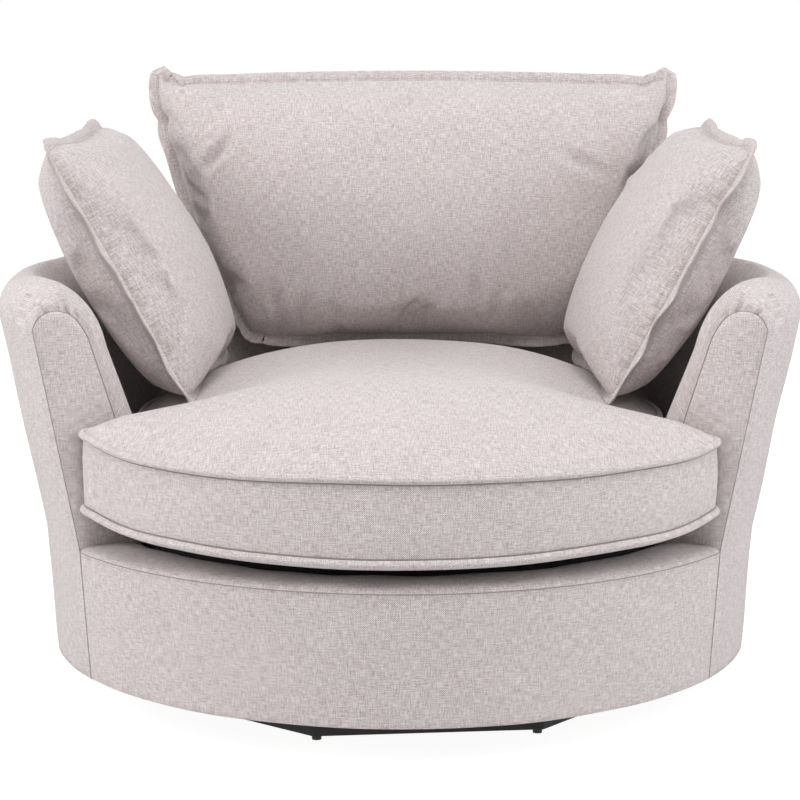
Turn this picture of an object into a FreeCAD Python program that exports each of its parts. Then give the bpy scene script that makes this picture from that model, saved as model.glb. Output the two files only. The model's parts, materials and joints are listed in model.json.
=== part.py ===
import FreeCAD, Part
import math
import os

os.makedirs("parts", exist_ok=True)

# Round swivel cuddle chair, upholstered, with loose cushions. Millimetres.
# The origin is on the floor under the swivel axis, +Z is up, the sitter faces -Y and +X is the viewer's right.
# Angles called phi run about the swivel axis from the front of the chair, positive towards +X.

# Drum and tub wall
skirt_height = 51.0
base_radius = 504.0
waist_height = 235.0
waist_radius = 517.0
rim_height = 545.0
rim_radius = 579.0
ridge_rise = 59.0
ridge_inset = 50.0
rear_flare_share = 0.2
flare_fade_start = 100.0
rear_rise = 45.0
rear_rise_start = 105.0
wall_at_seat = 131.0
wall_at_roll = 111.0
roll_drop = 27.0
roll_bulge = 12.0
elbow_height = 410.0
arm_end_angle = 60.0
apron_end_angle = 58.0
back_seam_angle = 120.0
panel_thickness = 12.0
pad_thickness = 45.0
facing_thickness = 18.0
section_step = 12.0

# Swivel base
glide_height = 8.0
glide_radius = 6.5
glide_stem_radius = 3.0
glide_stem_length = 12.0
glide_inset = 16.0
base_corner_radius = 408.0
base_corner_angle = 28.4
base_side_count = 8
base_thickness = 25.0
plate_side = 300.0
plate_thickness = 3.0
plate_hole_spacing = 260.0
plate_bore_radius = 60.0
ball_radius = 4.0
ball_circle_radius = 112.0
ball_count = 24
ball_clearance = 0.1
race_gap = 2.0
race_width = 11.0
race_height = 11.5
race_end_gap = 1.5
cage_thickness = 1.4
cage_height = 7.0
screw_radius = 3.0
screw_head_radius = 6.5
screw_head_height = 3.0
screw_length = 16.0
screw_clearance = 0.1

# Frame inside the upholstery
board_thickness = 18.0
cover_cloth = 1.0
cover_hole_radius = 225.0
post_thickness = 45.0
post_width = 60.0
post_clearance = 1.3
post_angles = {"arm_post": 65.0, "side_post": 108.0, "back_post": 156.0}
top_rail_height = 20.0
front_rail_thickness = 45.0
front_rail_end_angle = 56.0
rail_pad_height = 14.0
rail_front_radius = 423.0
seat_rail_offset = 310.0
seat_rail_width = 40.0
seat_rail_depth = 60.0
seat_leg_side = 45.0
spring_count = 5
spring_spacing = 100.0
spring_wire_radius = 2.0
spring_half_width = 24.0
spring_pitch = 30.0
clip_width = 26.0
clip_depth = 16.0
clip_height = 15.0
deck_pad_thickness = 24.0
deck_cloth_thickness = 2.0
seat_rim_drop = 1.0
soft_clearance = 0.3

# Seat cushion
seat_front_radius = 523.0
seat_gap = 2.0
seat_corner_radius = 26.0
seat_nook_radius = 12.0
deck_nook_radius = 0.8
seat_lower_seam = 12.0
seat_border_height = 108.0
seat_crown = 86.0
seat_bottom_tuck = 14.0
seat_cover_thickness = 3.0
piping_radius = 5.0
piping_proud = 2.2
crown_rise = (0.0, 0.13, 0.28, 0.5, 0.74, 0.92, 1.0)
crown_front_inset = (0.0, 12.0, 35.0, 80.0, 130.0, 190.0, 255.0)
crown_run_inset = (0.0, 12.0, 32.0, 60.0, 85.0, 105.0, 120.0)
crown_side_inset = (0.0, 11.0, 30.0, 70.0, 125.0, 185.0, 245.0)
crown_setback = (0.0, 10.0, 28.0, 52.0, 70.0, 82.0, 88.0)
step_fillet_share = 0.4

# Back cushion and scatter cushions
back_half_bottom = 246.0
back_half_top = 408.0
back_height = 403.0
back_depth = 240.0
back_lean = 9.0
back_shift = 20.0
back_setback = 282.0
scatter_side = 394.0
scatter_depth = 150.0
scatter_tilt = 27.5
scatter_turn = 4.0
scatter_out = 392.0
scatter_setback = 45.0
settle_start = 80.0
settle_rounds = 12
settle_tolerance = 0.1
pillow_draw_in = 14.0
pillow_corner = 40.0
pillow_tip_share = 0.55
pillow_cover = 2.5
flange_width = 17.0
flange_thickness = 2.0
pillow_steps = ((1.0, 0.0), (0.97, 0.22), (0.9, 0.42), (0.76, 0.65), (0.55, 0.84), (0.32, 0.95), (0.12, 1.0))

Vector = FreeCAD.Vector
UP = Vector(0, 0, 1)
shapes = {}


def place(radius, height, phi):
    """Point at a radius from the swivel axis, at an angle from the front of the chair."""
    turn = math.radians(phi)
    return Vector(radius * math.sin(turn), -radius * math.cos(turn), height)


def from_front(phi):
    """The same angle folded to 0 at the front and 180 at the back, on either side."""
    return abs((phi + 180.0) % 360.0 - 180.0)


def eased(value, start, stop):
    """0 before start, 1 after stop, with a soft run between."""
    share = min(max((value - start) / (stop - start), 0.0), 1.0)
    return 0.5 - 0.5 * math.cos(math.pi * share)


def path_edges(segments):
    """A line for each pair of points and an arc for each three."""
    edges = []
    for points in segments:
        if len(points) == 3:
            edges.append(Part.Arc(*points).toShape())
        else:
            edges.append(Part.makeLine(*points))
    return edges


def radial_wire(phi, segments):
    placed = [[place(radius, height, phi) for radius, height in points] for points in segments]
    return Part.Wire(path_edges(placed))


def closed_segments(points):
    return [(points[k], points[(k + 1) % len(points)]) for k in range(len(points))]


def swept_round(profile, start, stop):
    """A solid lofted through the profile at even angles about the swivel axis."""
    steps = max(3, math.ceil((stop - start) / section_step))
    angles = [start + (stop - start) * k / steps for k in range(steps + 1)]
    return Part.makeLoft([radial_wire(phi, profile(phi)) for phi in angles], True)


def slab(radius, bottom, height):
    return Part.makeCylinder(radius, height, Vector(0, 0, bottom))


def centred_box(size_x, size_y, size_z, centre_x, centre_y, bottom):
    corner = Vector(centre_x - size_x / 2, centre_y - size_y / 2, bottom)
    return Part.makeBox(size_x, size_y, size_z, corner)


# Wall section, as radius and height at an angle


def local_rim_radius(phi):
    fade = eased(from_front(phi), flare_fade_start, 180.0)
    share = 1.0 - fade * (1.0 - rear_flare_share)
    return waist_radius + (rim_radius - waist_radius) * share


def local_rim_height(phi):
    return rim_height + rear_rise * eased(from_front(phi), rear_rise_start, 180.0)


def outer_radius(height, phi):
    if height <= waist_height:
        share = (height - skirt_height) / (waist_height - skirt_height)
        return base_radius + (waist_radius - base_radius) * share
    share = (height - waist_height) / (local_rim_height(phi) - waist_height)
    return waist_radius + (local_rim_radius(phi) - waist_radius) * share


def wall_points(phi):
    """Named points of the wall's outline, from the rim over the ridge to the seat."""
    rim = (local_rim_radius(phi), local_rim_height(phi))
    ridge = (rim[0] - ridge_inset, rim[1] + ridge_rise)
    quarter = math.sqrt(0.5)
    shoulder = (ridge[0] + quarter * ridge_inset, ridge[1] - (1.0 - quarter) * ridge_rise)
    roll_height = rim[1] - roll_drop
    roll = (outer_radius(roll_height, phi) - wall_at_roll, roll_height)
    run = (ridge[0] - roll[0], ridge[1] - roll[1])
    length = math.hypot(*run)
    bulge = (
        (ridge[0] + roll[0]) / 2 - roll_bulge * run[1] / length,
        (ridge[1] + roll[1]) / 2 + roll_bulge * run[0] / length,
    )
    elbow = (outer_radius(elbow_height, phi) - wall_at_seat, elbow_height)
    foot = (outer_radius(foot_height, phi) - wall_at_seat, foot_height)
    return {
        "rim": rim,
        "shoulder": shoulder,
        "ridge": ridge,
        "bulge": bulge,
        "roll": roll,
        "elbow": elbow,
        "foot": foot,
    }


def wall_top(points):
    """The shared run over the top of the wall and down to the seat."""
    return [
        (points["rim"], points["shoulder"], points["ridge"]),
        (points["ridge"], points["bulge"], points["roll"]),
        (points["roll"], points["elbow"]),
        (points["elbow"], points["foot"]),
    ]


def inside_pad_profile(phi):
    points = wall_points(phi)
    behind = [(points[name][0] + pad_thickness, points[name][1]) for name in ("foot", "elbow", "roll")]
    under = (behind[2][0], points["rim"][1])
    back = [
        (points["foot"], behind[0]),
        (behind[0], behind[1]),
        (behind[1], behind[2]),
        (behind[2], under),
        (under, points["rim"]),
    ]
    return wall_top(points) + back


def facing_profile(phi):
    points = wall_points(phi)
    outer_foot = (outer_radius(foot_height, phi), foot_height)
    return wall_top(points) + [(points["foot"], outer_foot), (outer_foot, points["rim"])]


def outside_panel_profile(phi):
    top = local_rim_height(phi) - soft_clearance
    outer = [(base_radius, skirt_height), (waist_radius, waist_height), (outer_radius(top, phi), top)]
    inner = [(radius - panel_thickness, height) for radius, height in reversed(outer)]
    return closed_segments(outer + inner)


def apron_profile(phi):
    outer = [(base_radius, skirt_height), (outer_radius(rail_pad_bottom, phi), rail_pad_bottom)]
    inner = [(radius - panel_thickness, height) for radius, height in reversed(outer)]
    return closed_segments(outer + inner)


def top_rail_profile(phi):
    points = wall_points(phi)
    inner = points["roll"][0] + pad_thickness + soft_clearance
    top = points["rim"][1] - soft_clearance
    bottom = top - top_rail_height
    outer = outer_radius(bottom, phi) - panel_thickness - soft_clearance
    return closed_segments([(inner, bottom), (outer, bottom), (outer, top), (inner, top)])


def front_rail_profile(phi):
    lower = outer_radius(board_top, phi) - panel_thickness - soft_clearance
    upper = outer_radius(rail_pad_bottom, phi) - panel_thickness - soft_clearance
    return closed_segments(
        [
            (lower - front_rail_thickness, board_top),
            (lower, board_top),
            (upper, rail_pad_bottom),
            (upper - front_rail_thickness, rail_pad_bottom),
        ]
    )


def rail_pad_profile(phi):
    inner = rail_front_radius + soft_clearance
    return closed_segments(
        [
            (inner, rail_pad_bottom),
            (outer_radius(rail_pad_bottom, phi), rail_pad_bottom),
            (outer_radius(foot_height, phi), foot_height),
            (inner, foot_height),
        ]
    )


# Levels that follow from the sizes above

base_top = glide_height + base_thickness
lower_plate_top = base_top + plate_thickness
ball_height = lower_plate_top + (race_height + race_end_gap) / 2
upper_plate_bottom = lower_plate_top + race_height + race_end_gap
board_bottom = upper_plate_bottom + plate_thickness
board_top = board_bottom + board_thickness
foot_height = waist_height + seat_rim_drop
rail_pad_bottom = foot_height - rail_pad_height
deck_cloth_bottom = foot_height + deck_pad_thickness
deck_top = deck_cloth_bottom + deck_cloth_thickness
seat_rail_top = foot_height - clip_height
seat_rail_bottom = seat_rail_top - seat_rail_depth
spring_height = seat_rail_top + clip_height / 2
seat_bottom = deck_top + soft_clearance
seat_top = seat_bottom + seat_lower_seam + seat_border_height + piping_radius + seat_crown
inner_foot_radius = waist_radius - wall_at_seat
piping_reach = piping_radius + piping_proud
seat_rear_radius = inner_foot_radius - piping_reach - seat_gap
deck_side = facing_thickness + soft_clearance
seat_side = facing_thickness + piping_reach + seat_gap
board_radius = base_radius - panel_thickness - soft_clearance


# Swivel base that stands on the floor


def octagon(radius, bottom, height):
    turn = 360.0 / base_side_count
    corners = [place(radius, bottom, base_corner_angle + k * turn) for k in range(base_side_count)]
    return Part.Face(Part.makePolygon(corners + corners[:1])).extrude(UP * height)


def plate_hole_points():
    half = plate_hole_spacing / 2
    return [Vector(x, y, 0) for x in (-half, half) for y in (-half, half)]


def drilled(shape, points, radius, bottom, height):
    for point in points:
        shape = shape.cut(Part.makeCylinder(radius, height, Vector(point.x, point.y, bottom)))
    return shape


def race_ring(inner, bottom):
    ring = slab(inner + race_width, bottom, race_height).cut(slab(inner, bottom, race_height))
    groove_radius = ball_radius + ball_clearance
    return ring.cut(Part.makeTorus(ball_circle_radius, groove_radius, Vector(0, 0, ball_height)))


def turntable_plate(bottom, race_inner, race_bottom):
    plate = centred_box(plate_side, plate_side, plate_thickness, 0, 0, bottom)
    plate = plate.cut(slab(plate_bore_radius, bottom, plate_thickness))
    hole = screw_radius + screw_clearance
    plate = drilled(plate, plate_hole_points(), hole, bottom, plate_thickness)
    return plate.fuse(race_ring(race_inner, race_bottom)).removeSplitter()


def ball_points():
    turn = 360.0 / ball_count
    return [place(ball_circle_radius, ball_height, k * turn) for k in range(ball_count)]


def screw(point, seat, direction):
    """A pan-head screw whose head lies on the seat level and whose shank runs along direction."""
    start = Vector(point.x, point.y, seat)
    shank = Part.makeCylinder(screw_radius, screw_length, start, direction)
    head = Part.makeCylinder(screw_head_radius, screw_head_height, start, -direction)
    return shank.fuse(head)


def glide(centre):
    foot = Part.makeCylinder(glide_radius, glide_height, Vector(centre.x, centre.y, 0))
    stem_start = Vector(centre.x, centre.y, glide_height)
    return foot.fuse(Part.makeCylinder(glide_stem_radius, glide_stem_length, stem_start))


def make_base():
    turn = 360.0 / base_side_count
    glide_circle = base_corner_radius - glide_inset
    glide_points = [place(glide_circle, 0, base_corner_angle + k * turn) for k in range(base_side_count)]
    board = octagon(base_corner_radius, glide_height, base_thickness)
    stem_hole = glide_stem_radius + screw_clearance
    board = drilled(board, glide_points, stem_hole, glide_height, glide_stem_length + screw_clearance)
    screw_hole = screw_radius + screw_clearance
    hole_depth = screw_length - plate_thickness + screw_clearance
    board = drilled(board, plate_hole_points(), screw_hole, base_top - hole_depth, hole_depth)
    shapes["swivel_base_board"] = board
    shapes["base_glides"] = Part.makeCompound([glide(point) for point in glide_points])

    outer_race = ball_circle_radius + race_gap / 2
    inner_race = ball_circle_radius - race_gap / 2 - race_width
    shapes["turntable_lower_plate"] = turntable_plate(base_top, outer_race, lower_plate_top)
    upper_race_bottom = upper_plate_bottom - race_height
    shapes["turntable_upper_plate"] = turntable_plate(upper_plate_bottom, inner_race, upper_race_bottom)
    balls = [Part.makeSphere(ball_radius, point) for point in ball_points()]
    shapes["turntable_balls"] = Part.makeCompound(balls)

    cage_bottom = ball_height - cage_height / 2
    cage = slab(ball_circle_radius + cage_thickness / 2, cage_bottom, cage_height)
    cage = cage.cut(slab(ball_circle_radius - cage_thickness / 2, cage_bottom, cage_height))
    pockets = [Part.makeSphere(ball_radius + ball_clearance, point) for point in ball_points()]
    shapes["turntable_ball_cage"] = cage.cut(Part.makeCompound(pockets))

    lower = [screw(point, lower_plate_top, -UP) for point in plate_hole_points()]
    upper = [screw(point, upper_plate_bottom, UP) for point in plate_hole_points()]
    shapes["lower_plate_screws"] = Part.makeCompound(lower)
    shapes["upper_plate_screws"] = Part.makeCompound(upper)


# Timber frame, springs and deck


def post(phi):
    """A batten that follows the inside of the outer panel from the board to the top rail."""
    reach = math.degrees(post_width / 2 / waist_radius)
    top = local_rim_height(phi) - top_rail_height
    wires = []
    for height in (board_top, waist_height, top):
        corners = []
        for angle, depth in ((phi - reach, 0.0), (phi + reach, 0.0), (phi + reach, 1.0), (phi - reach, 1.0)):
            outer = outer_radius(height, angle) - panel_thickness - post_clearance
            corners.append(place(outer - depth * post_thickness, height, angle))
        wires.append(Part.makePolygon(corners + corners[:1]))
    return Part.makeLoft(wires, True, True)


def post_top_cut(shape, phi):
    """The post stops under the lowest point of the rail above it."""
    reach = math.degrees(post_width / 2 / waist_radius)
    lowest = min(local_rim_height(phi - reach), local_rim_height(phi + reach)) - top_rail_height
    lowest -= soft_clearance + post_clearance
    keep = slab(rim_radius + post_width, 0, lowest)
    return shape.common(keep)


def spring(centre_x):
    """A sinuous spring: cross runs joined by half turns, as one unbroken wire."""
    height = spring_height
    rows = 2 * math.floor((seat_rail_offset - spring_pitch) / spring_pitch) + 2
    first = -spring_pitch * (rows - 1) / 2
    segments = []
    side = -1.0
    for row in range(rows):
        y = first + row * spring_pitch
        start = Vector(centre_x + side * spring_half_width, y, height)
        end = Vector(centre_x - side * spring_half_width, y, height)
        segments.append((start, end))
        side = -side
        if row < rows - 1:
            radius = spring_pitch / 2
            corner = math.sqrt(0.5) * radius
            middle = Vector(end.x + side * radius, y + radius, height)
            early = Vector(end.x + side * corner, y + radius - corner, height)
            late = Vector(end.x + side * corner, y + radius + corner, height)
            finish = Vector(end.x, y + spring_pitch, height)
            segments.append((end, early, middle))
            segments.append((middle, late, finish))
    path = Part.Wire(path_edges(segments))
    start = segments[0][0]
    circle = Part.Wire(Part.makeCircle(spring_wire_radius, start, segments[0][1] - start))
    return path.makePipeShell([circle], True, False), first


def make_frame():
    board = slab(board_radius, board_bottom, board_thickness)
    screw_hole = screw_radius + screw_clearance
    hole_depth = screw_length - plate_thickness + screw_clearance
    shapes["bottom_board"] = drilled(board, plate_hole_points(), screw_hole, board_bottom, hole_depth)
    cloth = slab(board_radius, skirt_height, cover_cloth)
    shapes["bottom_dust_cover"] = cloth.cut(slab(cover_hole_radius, skirt_height, cover_cloth))

    for name, phi in post_angles.items():
        shapes[name + "_right"] = post_top_cut(post(phi), phi)
        shapes[name + "_left"] = post_top_cut(post(-phi), phi)
    shapes["top_rail_right"] = swept_round(top_rail_profile, arm_end_angle, back_seam_angle)
    shapes["top_rail_left"] = swept_round(top_rail_profile, -back_seam_angle, -arm_end_angle)
    shapes["top_rail_back"] = swept_round(top_rail_profile, back_seam_angle, 360.0 - back_seam_angle)
    shapes["front_rail"] = swept_round(front_rail_profile, -front_rail_end_angle, front_rail_end_angle)

    beam = 2 * seat_rail_offset - seat_rail_width
    for name, side in (("front", -1), ("back", 1)):
        y = side * seat_rail_offset
        rail = centred_box(beam, seat_rail_width, seat_rail_depth, 0, y, seat_rail_bottom)
        shapes["seat_rail_" + name] = rail
    side_x = seat_rail_offset - seat_rail_width
    for name, side in (("left", -1), ("right", 1)):
        rail = centred_box(seat_rail_width, beam, seat_rail_depth, side * side_x, 0, seat_rail_bottom)
        shapes["seat_rail_" + name] = rail
    leg_centre = beam / 2 - seat_leg_side / 2
    legs = []
    for x in (-leg_centre, leg_centre):
        for y in (-seat_rail_offset, seat_rail_offset):
            legs.append(centred_box(seat_leg_side, seat_leg_side, seat_rail_bottom - board_top, x, y, board_top))
    shapes["seat_frame_legs"] = Part.makeCompound(legs)

    springs = []
    clips = []
    hole = spring_wire_radius + screw_clearance
    for k in range(spring_count):
        x = (k - (spring_count - 1) / 2) * spring_spacing
        wire, first = spring(x)
        springs.append(wire)
        for y in (first, -first):
            clip = centred_box(clip_width, clip_depth, clip_height, x, y, seat_rail_top)
            bore_start = Vector(x - clip_width / 2, y, spring_height)
            bore = Part.makeCylinder(hole, clip_width, bore_start, Vector(1, 0, 0))
            clips.append(clip.cut(bore))
    shapes["seat_springs"] = Part.makeCompound(springs)
    shapes["spring_clips"] = Part.makeCompound(clips)


# Closed outlines with a wide round front and a smaller round rear, as the tub and the seat have


def lobed_wire(front, rear, side, height, corner, nook):
    """Front arc, runs at a distance in front of the arm ends, then the rear arcs, with rounded corners."""
    most = (front - rear) * step_fillet_share
    corner = min(corner, most)
    nook = min(nook, most)

    def angle_at(radius, distance):
        return arm_end_angle - math.degrees(math.asin(distance / radius))

    def on_run(radius, distance):
        """The point of the run abreast of a fillet's centre."""
        reach = math.hypot(math.sqrt(radius**2 - distance**2), side)
        return reach, angle_at(reach, side)

    def fillet(sign, radius, angle, start, end):
        centre = place(radius, height, sign * angle)
        middle = (start + end) * 0.5 - centre
        return (start, centre + middle * ((start - centre).Length / middle.Length), end)

    def half(sign):
        corner_centre = (front - corner, side + corner)
        nook_centre = (rear + nook, side - nook)
        corner_angle = angle_at(*corner_centre)
        nook_angle = angle_at(*nook_centre)
        start_radius, start_angle = on_run(*corner_centre)
        end_radius, end_angle = on_run(*nook_centre)
        tip = place(front, height, sign * corner_angle)
        run_start = place(start_radius, height, sign * start_angle)
        run_end = place(end_radius, height, sign * end_angle)
        tail = place(rear, height, sign * nook_angle)
        quarter = place(rear, height, sign * (nook_angle + 180.0) / 2)
        return [
            fillet(sign, front - corner, corner_angle, tip, run_start),
            (run_start, run_end),
            fillet(sign, rear + nook, nook_angle, run_end, tail),
            (tail, quarter, place(rear, height, 180.0)),
        ]

    right = half(1.0)
    left = [tuple(reversed(points)) for points in reversed(half(-1.0))]
    across = [(left[-1][-1], place(front, height, 0.0), right[0][0])]
    return Part.Wire(path_edges(right + left + across))


def make_deck():
    rear = inner_foot_radius - soft_clearance
    for name, bottom, thickness in (
        ("deck_pad", foot_height, deck_pad_thickness),
        ("deck_cloth", deck_cloth_bottom, deck_cloth_thickness),
    ):
        outline = lobed_wire(rail_front_radius, rear, deck_side, bottom, seat_corner_radius, deck_nook_radius)
        shapes[name] = Part.Face(outline).extrude(UP * thickness)


def seat_wire(inset, height, front_inset=0.0, run_inset=0.0, side_inset=0.0):
    front = seat_front_radius - inset - front_inset
    rear = seat_rear_radius - inset - side_inset
    corner = seat_corner_radius - inset
    nook = seat_nook_radius + inset + side_inset
    return lobed_wire(front, rear, seat_side + inset + run_inset, height, corner, nook)


def seat_crown_solid(inset, bottom, rise):
    """The crowned top, whose outline shrinks and drifts towards the back as it rises."""
    wires = []
    steps = zip(crown_rise, crown_front_inset, crown_run_inset, crown_side_inset, crown_setback)
    for share, front, run, side, setback in steps:
        wire = seat_wire(inset, bottom + rise * share, front, run, side)
        wire.translate(Vector(0, setback, 0))
        wires.append(wire)
    return Part.makeLoft(wires, True)


def make_seat_cushion():
    lower_seam = seat_bottom + seat_lower_seam
    upper_seam = lower_seam + seat_border_height
    border_bottom = lower_seam + piping_radius
    border_top = upper_seam - piping_radius
    crown_bottom = upper_seam + piping_radius
    panel_top = lower_seam - piping_radius
    cover = seat_cover_thickness

    bottom_wires = [seat_wire(seat_bottom_tuck, seat_bottom), seat_wire(0, panel_top)]
    bottom = Part.makeLoft(bottom_wires, True, True)
    core_wires = [seat_wire(seat_bottom_tuck + cover, seat_bottom + cover), seat_wire(cover, panel_top)]
    core_bottom = Part.makeLoft(core_wires, True, True)
    core_height = crown_bottom - panel_top
    core_middle = Part.Face(seat_wire(cover, panel_top)).extrude(UP * core_height)
    core_crown = seat_crown_solid(cover, crown_bottom, seat_crown - cover)
    border = Part.Face(seat_wire(0, border_bottom)).extrude(UP * (border_top - border_bottom))

    shapes["seat_cover_bottom"] = bottom.cut(core_bottom)
    shapes["seat_cover_border"] = border.cut(core_middle)
    shapes["seat_cover_top"] = seat_crown_solid(0, crown_bottom, seat_crown).cut(core_crown)
    shapes["seat_foam"] = core_bottom.multiFuse([core_middle, core_crown]).removeSplitter()
    for name, height in (("seat_piping_lower", lower_seam), ("seat_piping_upper", upper_seam)):
        path = seat_wire(-piping_proud, height)
        start = path.Edges[0].valueAt(path.Edges[0].FirstParameter)
        along = path.Edges[0].tangentAt(path.Edges[0].FirstParameter)
        circle = Part.Wire(Part.makeCircle(piping_radius, start, along))
        shapes[name] = path.makePipeShell([circle], True, False)


# Flanged pillows, drawn flat first: x across, y up the cushion, z through its thickness


def pillow_wire(half_bottom, half_top, height, scale, depth, draw_in=pillow_draw_in):
    """A four-sided outline with drawn-in sides and rounded corners, scaled about its middle."""
    cut = pillow_corner

    def point(x, y):
        return Vector(x * scale, (y - height / 2) * scale, depth)

    corners = [
        (-half_bottom, 0.0),
        (half_bottom, 0.0),
        (half_top, height),
        (-half_top, height),
    ]
    segments = []
    for k in range(4):
        here = Vector(*corners[k], 0)
        ahead = Vector(*corners[(k + 1) % 4], 0)
        after = Vector(*corners[(k + 2) % 4], 0)
        along = (ahead - here).normalize()
        turned = (after - ahead).normalize()
        start = here + along * cut
        end = ahead - along * cut
        inward = Vector(-along.y, along.x, 0) * draw_in
        middle = (start + end) * 0.5 + inward
        leave = ahead + turned * cut
        tip = ahead * pillow_tip_share + (end + leave) * ((1.0 - pillow_tip_share) / 2)
        segments.append((point(start.x, start.y), point(middle.x, middle.y), point(end.x, end.y)))
        segments.append((point(end.x, end.y), point(tip.x, tip.y), point(leave.x, leave.y)))
    return Part.Wire(path_edges(segments))


def half_pillow(half_bottom, half_top, height, depth):
    wires = [pillow_wire(half_bottom, half_top, height, scale, depth * share) for scale, share in pillow_steps]
    return Part.makeLoft(wires, True)


def pillow_parts(half_bottom, half_top, height, thickness):
    """Front panel, rear panel and filling of a flanged cushion, lying flat about its middle."""
    outer = half_pillow(half_bottom, half_top, height, thickness / 2)
    trim = pillow_cover
    inner = half_pillow(half_bottom - trim, half_top - trim, height - 2 * trim, thickness / 2 - trim)
    grown = flange_width
    edge = pillow_wire(half_bottom + grown, half_top + grown, height + 2 * grown, 1.0, 0.0)
    flange = Part.Face(edge).extrude(UP * flange_thickness)
    front = outer.fuse(flange).cut(inner).removeSplitter()
    half_turn = FreeCAD.Placement(Vector(0, 0, 0), FreeCAD.Rotation(Vector(0, 1, 0), 180))
    rear = front.copy()
    rear.Placement = half_turn.multiply(rear.Placement)
    rear_inner = inner.copy()
    rear_inner.Placement = half_turn.multiply(rear_inner.Placement)
    filling = inner.fuse(rear_inner).removeSplitter()
    return {"front_panel": front, "rear_panel": rear, "filling": filling}


def moved(shape, placement):
    """A copy carried by a placement, with the move written into its geometry."""
    return shape.transformGeometry(placement.toMatrix())


def settled(parts, supports, direction, reach=200.0):
    """Moves a cushion along a direction until it all but touches what carries it."""
    travel = 0.0
    outside = [shape for name, shape in parts.items() if name != "filling"]
    for _ in range(settle_rounds):
        group = Part.makeCompound([shape.translated(direction * travel) for shape in outside])
        gap = min(group.distToShape(support)[0] for support in supports) - soft_clearance
        travel += gap
        if gap < settle_tolerance or travel > reach:
            break
    return {name: shape.translated(direction * travel) for name, shape in parts.items()}


def make_pillows():
    seat = [shapes["seat_cover_top"], shapes["seat_piping_upper"]]
    walls = [shapes["inside_back"], shapes["inside_arm_left"], shapes["inside_arm_right"]]
    upright = FreeCAD.Rotation(Vector(1, 0, 0), 90.0)

    lean = FreeCAD.Rotation(Vector(1, 0, 0), -back_lean)
    centre = Vector(back_shift, back_setback, seat_top + settle_start + back_height / 2)
    placement = FreeCAD.Placement(centre, lean.multiply(upright))
    parts = pillow_parts(back_half_bottom, back_half_top, back_height, back_depth)
    parts = {name: moved(shape, placement) for name, shape in parts.items()}
    parts = settled(parts, seat + walls, Vector(0, 0, -1))
    for name, shape in parts.items():
        shapes["back_cushion_" + name] = shape

    half = scatter_side / 2
    flat = pillow_parts(half, half, scatter_side, scatter_depth)
    for name, side in (("left", -1.0), ("right", 1.0)):
        turn = FreeCAD.Rotation(UP, -side * (90.0 - scatter_turn))
        tilt = FreeCAD.Rotation(Vector(0, 1, 0), side * scatter_tilt)
        centre = Vector(side * scatter_out, scatter_setback, seat_top + settle_start + half)
        placement = FreeCAD.Placement(centre, tilt.multiply(turn).multiply(upright))
        parts = {label: moved(shape, placement) for label, shape in flat.items()}
        parts = settled(parts, seat + walls, Vector(0, 0, -1))
        for label, shape in parts.items():
            shapes["scatter_" + name + "_" + label] = shape


# Upholstered panels


def arm_end_block(side):
    """The space in front of the arm's end and above the apron, which the facing fills."""
    reach = rim_radius + ridge_rise
    low = foot_height
    high = rim_height + 2 * ridge_rise
    phi = side * arm_end_angle
    corners = [place(radius, height, phi) for radius, height in ((0, low), (reach, low), (reach, high), (0, high))]
    turn = math.radians(phi)
    forward = Vector(-math.cos(turn), -math.sin(turn), 0) * side
    depth = reach * math.radians(arm_end_angle - apron_end_angle) * 2
    return Part.Face(Part.makePolygon(corners + corners[:1])).extrude(forward * depth)


def make_upholstery():
    back_stop = 360.0 - back_seam_angle
    shapes["inside_arm_right"] = swept_round(inside_pad_profile, arm_end_angle, back_seam_angle)
    shapes["inside_arm_left"] = swept_round(inside_pad_profile, -back_seam_angle, -arm_end_angle)
    shapes["inside_back"] = swept_round(inside_pad_profile, back_seam_angle, back_stop)
    right = swept_round(outside_panel_profile, apron_end_angle, back_seam_angle)
    left = swept_round(outside_panel_profile, -back_seam_angle, -apron_end_angle)
    shapes["outside_arm_right"] = right.cut(arm_end_block(1.0))
    shapes["outside_arm_left"] = left.cut(arm_end_block(-1.0))
    shapes["outside_back"] = swept_round(outside_panel_profile, back_seam_angle, back_stop)
    shapes["front_apron"] = swept_round(apron_profile, -apron_end_angle, apron_end_angle)
    shapes["rail_top_pad"] = swept_round(rail_pad_profile, -apron_end_angle, apron_end_angle)
    for name, side in (("left", -1.0), ("right", 1.0)):
        phi = side * arm_end_angle
        turn = math.radians(phi)
        forward = Vector(-math.cos(turn), -math.sin(turn), 0) * side
        face = Part.Face(radial_wire(phi, facing_profile(phi)))
        shapes["arm_facing_" + name] = face.extrude(forward * facing_thickness)


make_base()
make_frame()
make_deck()
make_upholstery()
make_seat_cushion()
make_pillows()

for node, shape in shapes.items():
    if not shape.isValid():
        print("not valid:", node)
    shape.exportStep("parts/" + node + ".step")
print(len(shapes), "nodes,", sum(len(shape.Solids) for shape in shapes.values()), "solids")
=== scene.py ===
import json
import math
import bpy
import numpy as np
from mathutils import Matrix, Vector, noise
from mathutils.bvhtree import BVHTree


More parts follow.
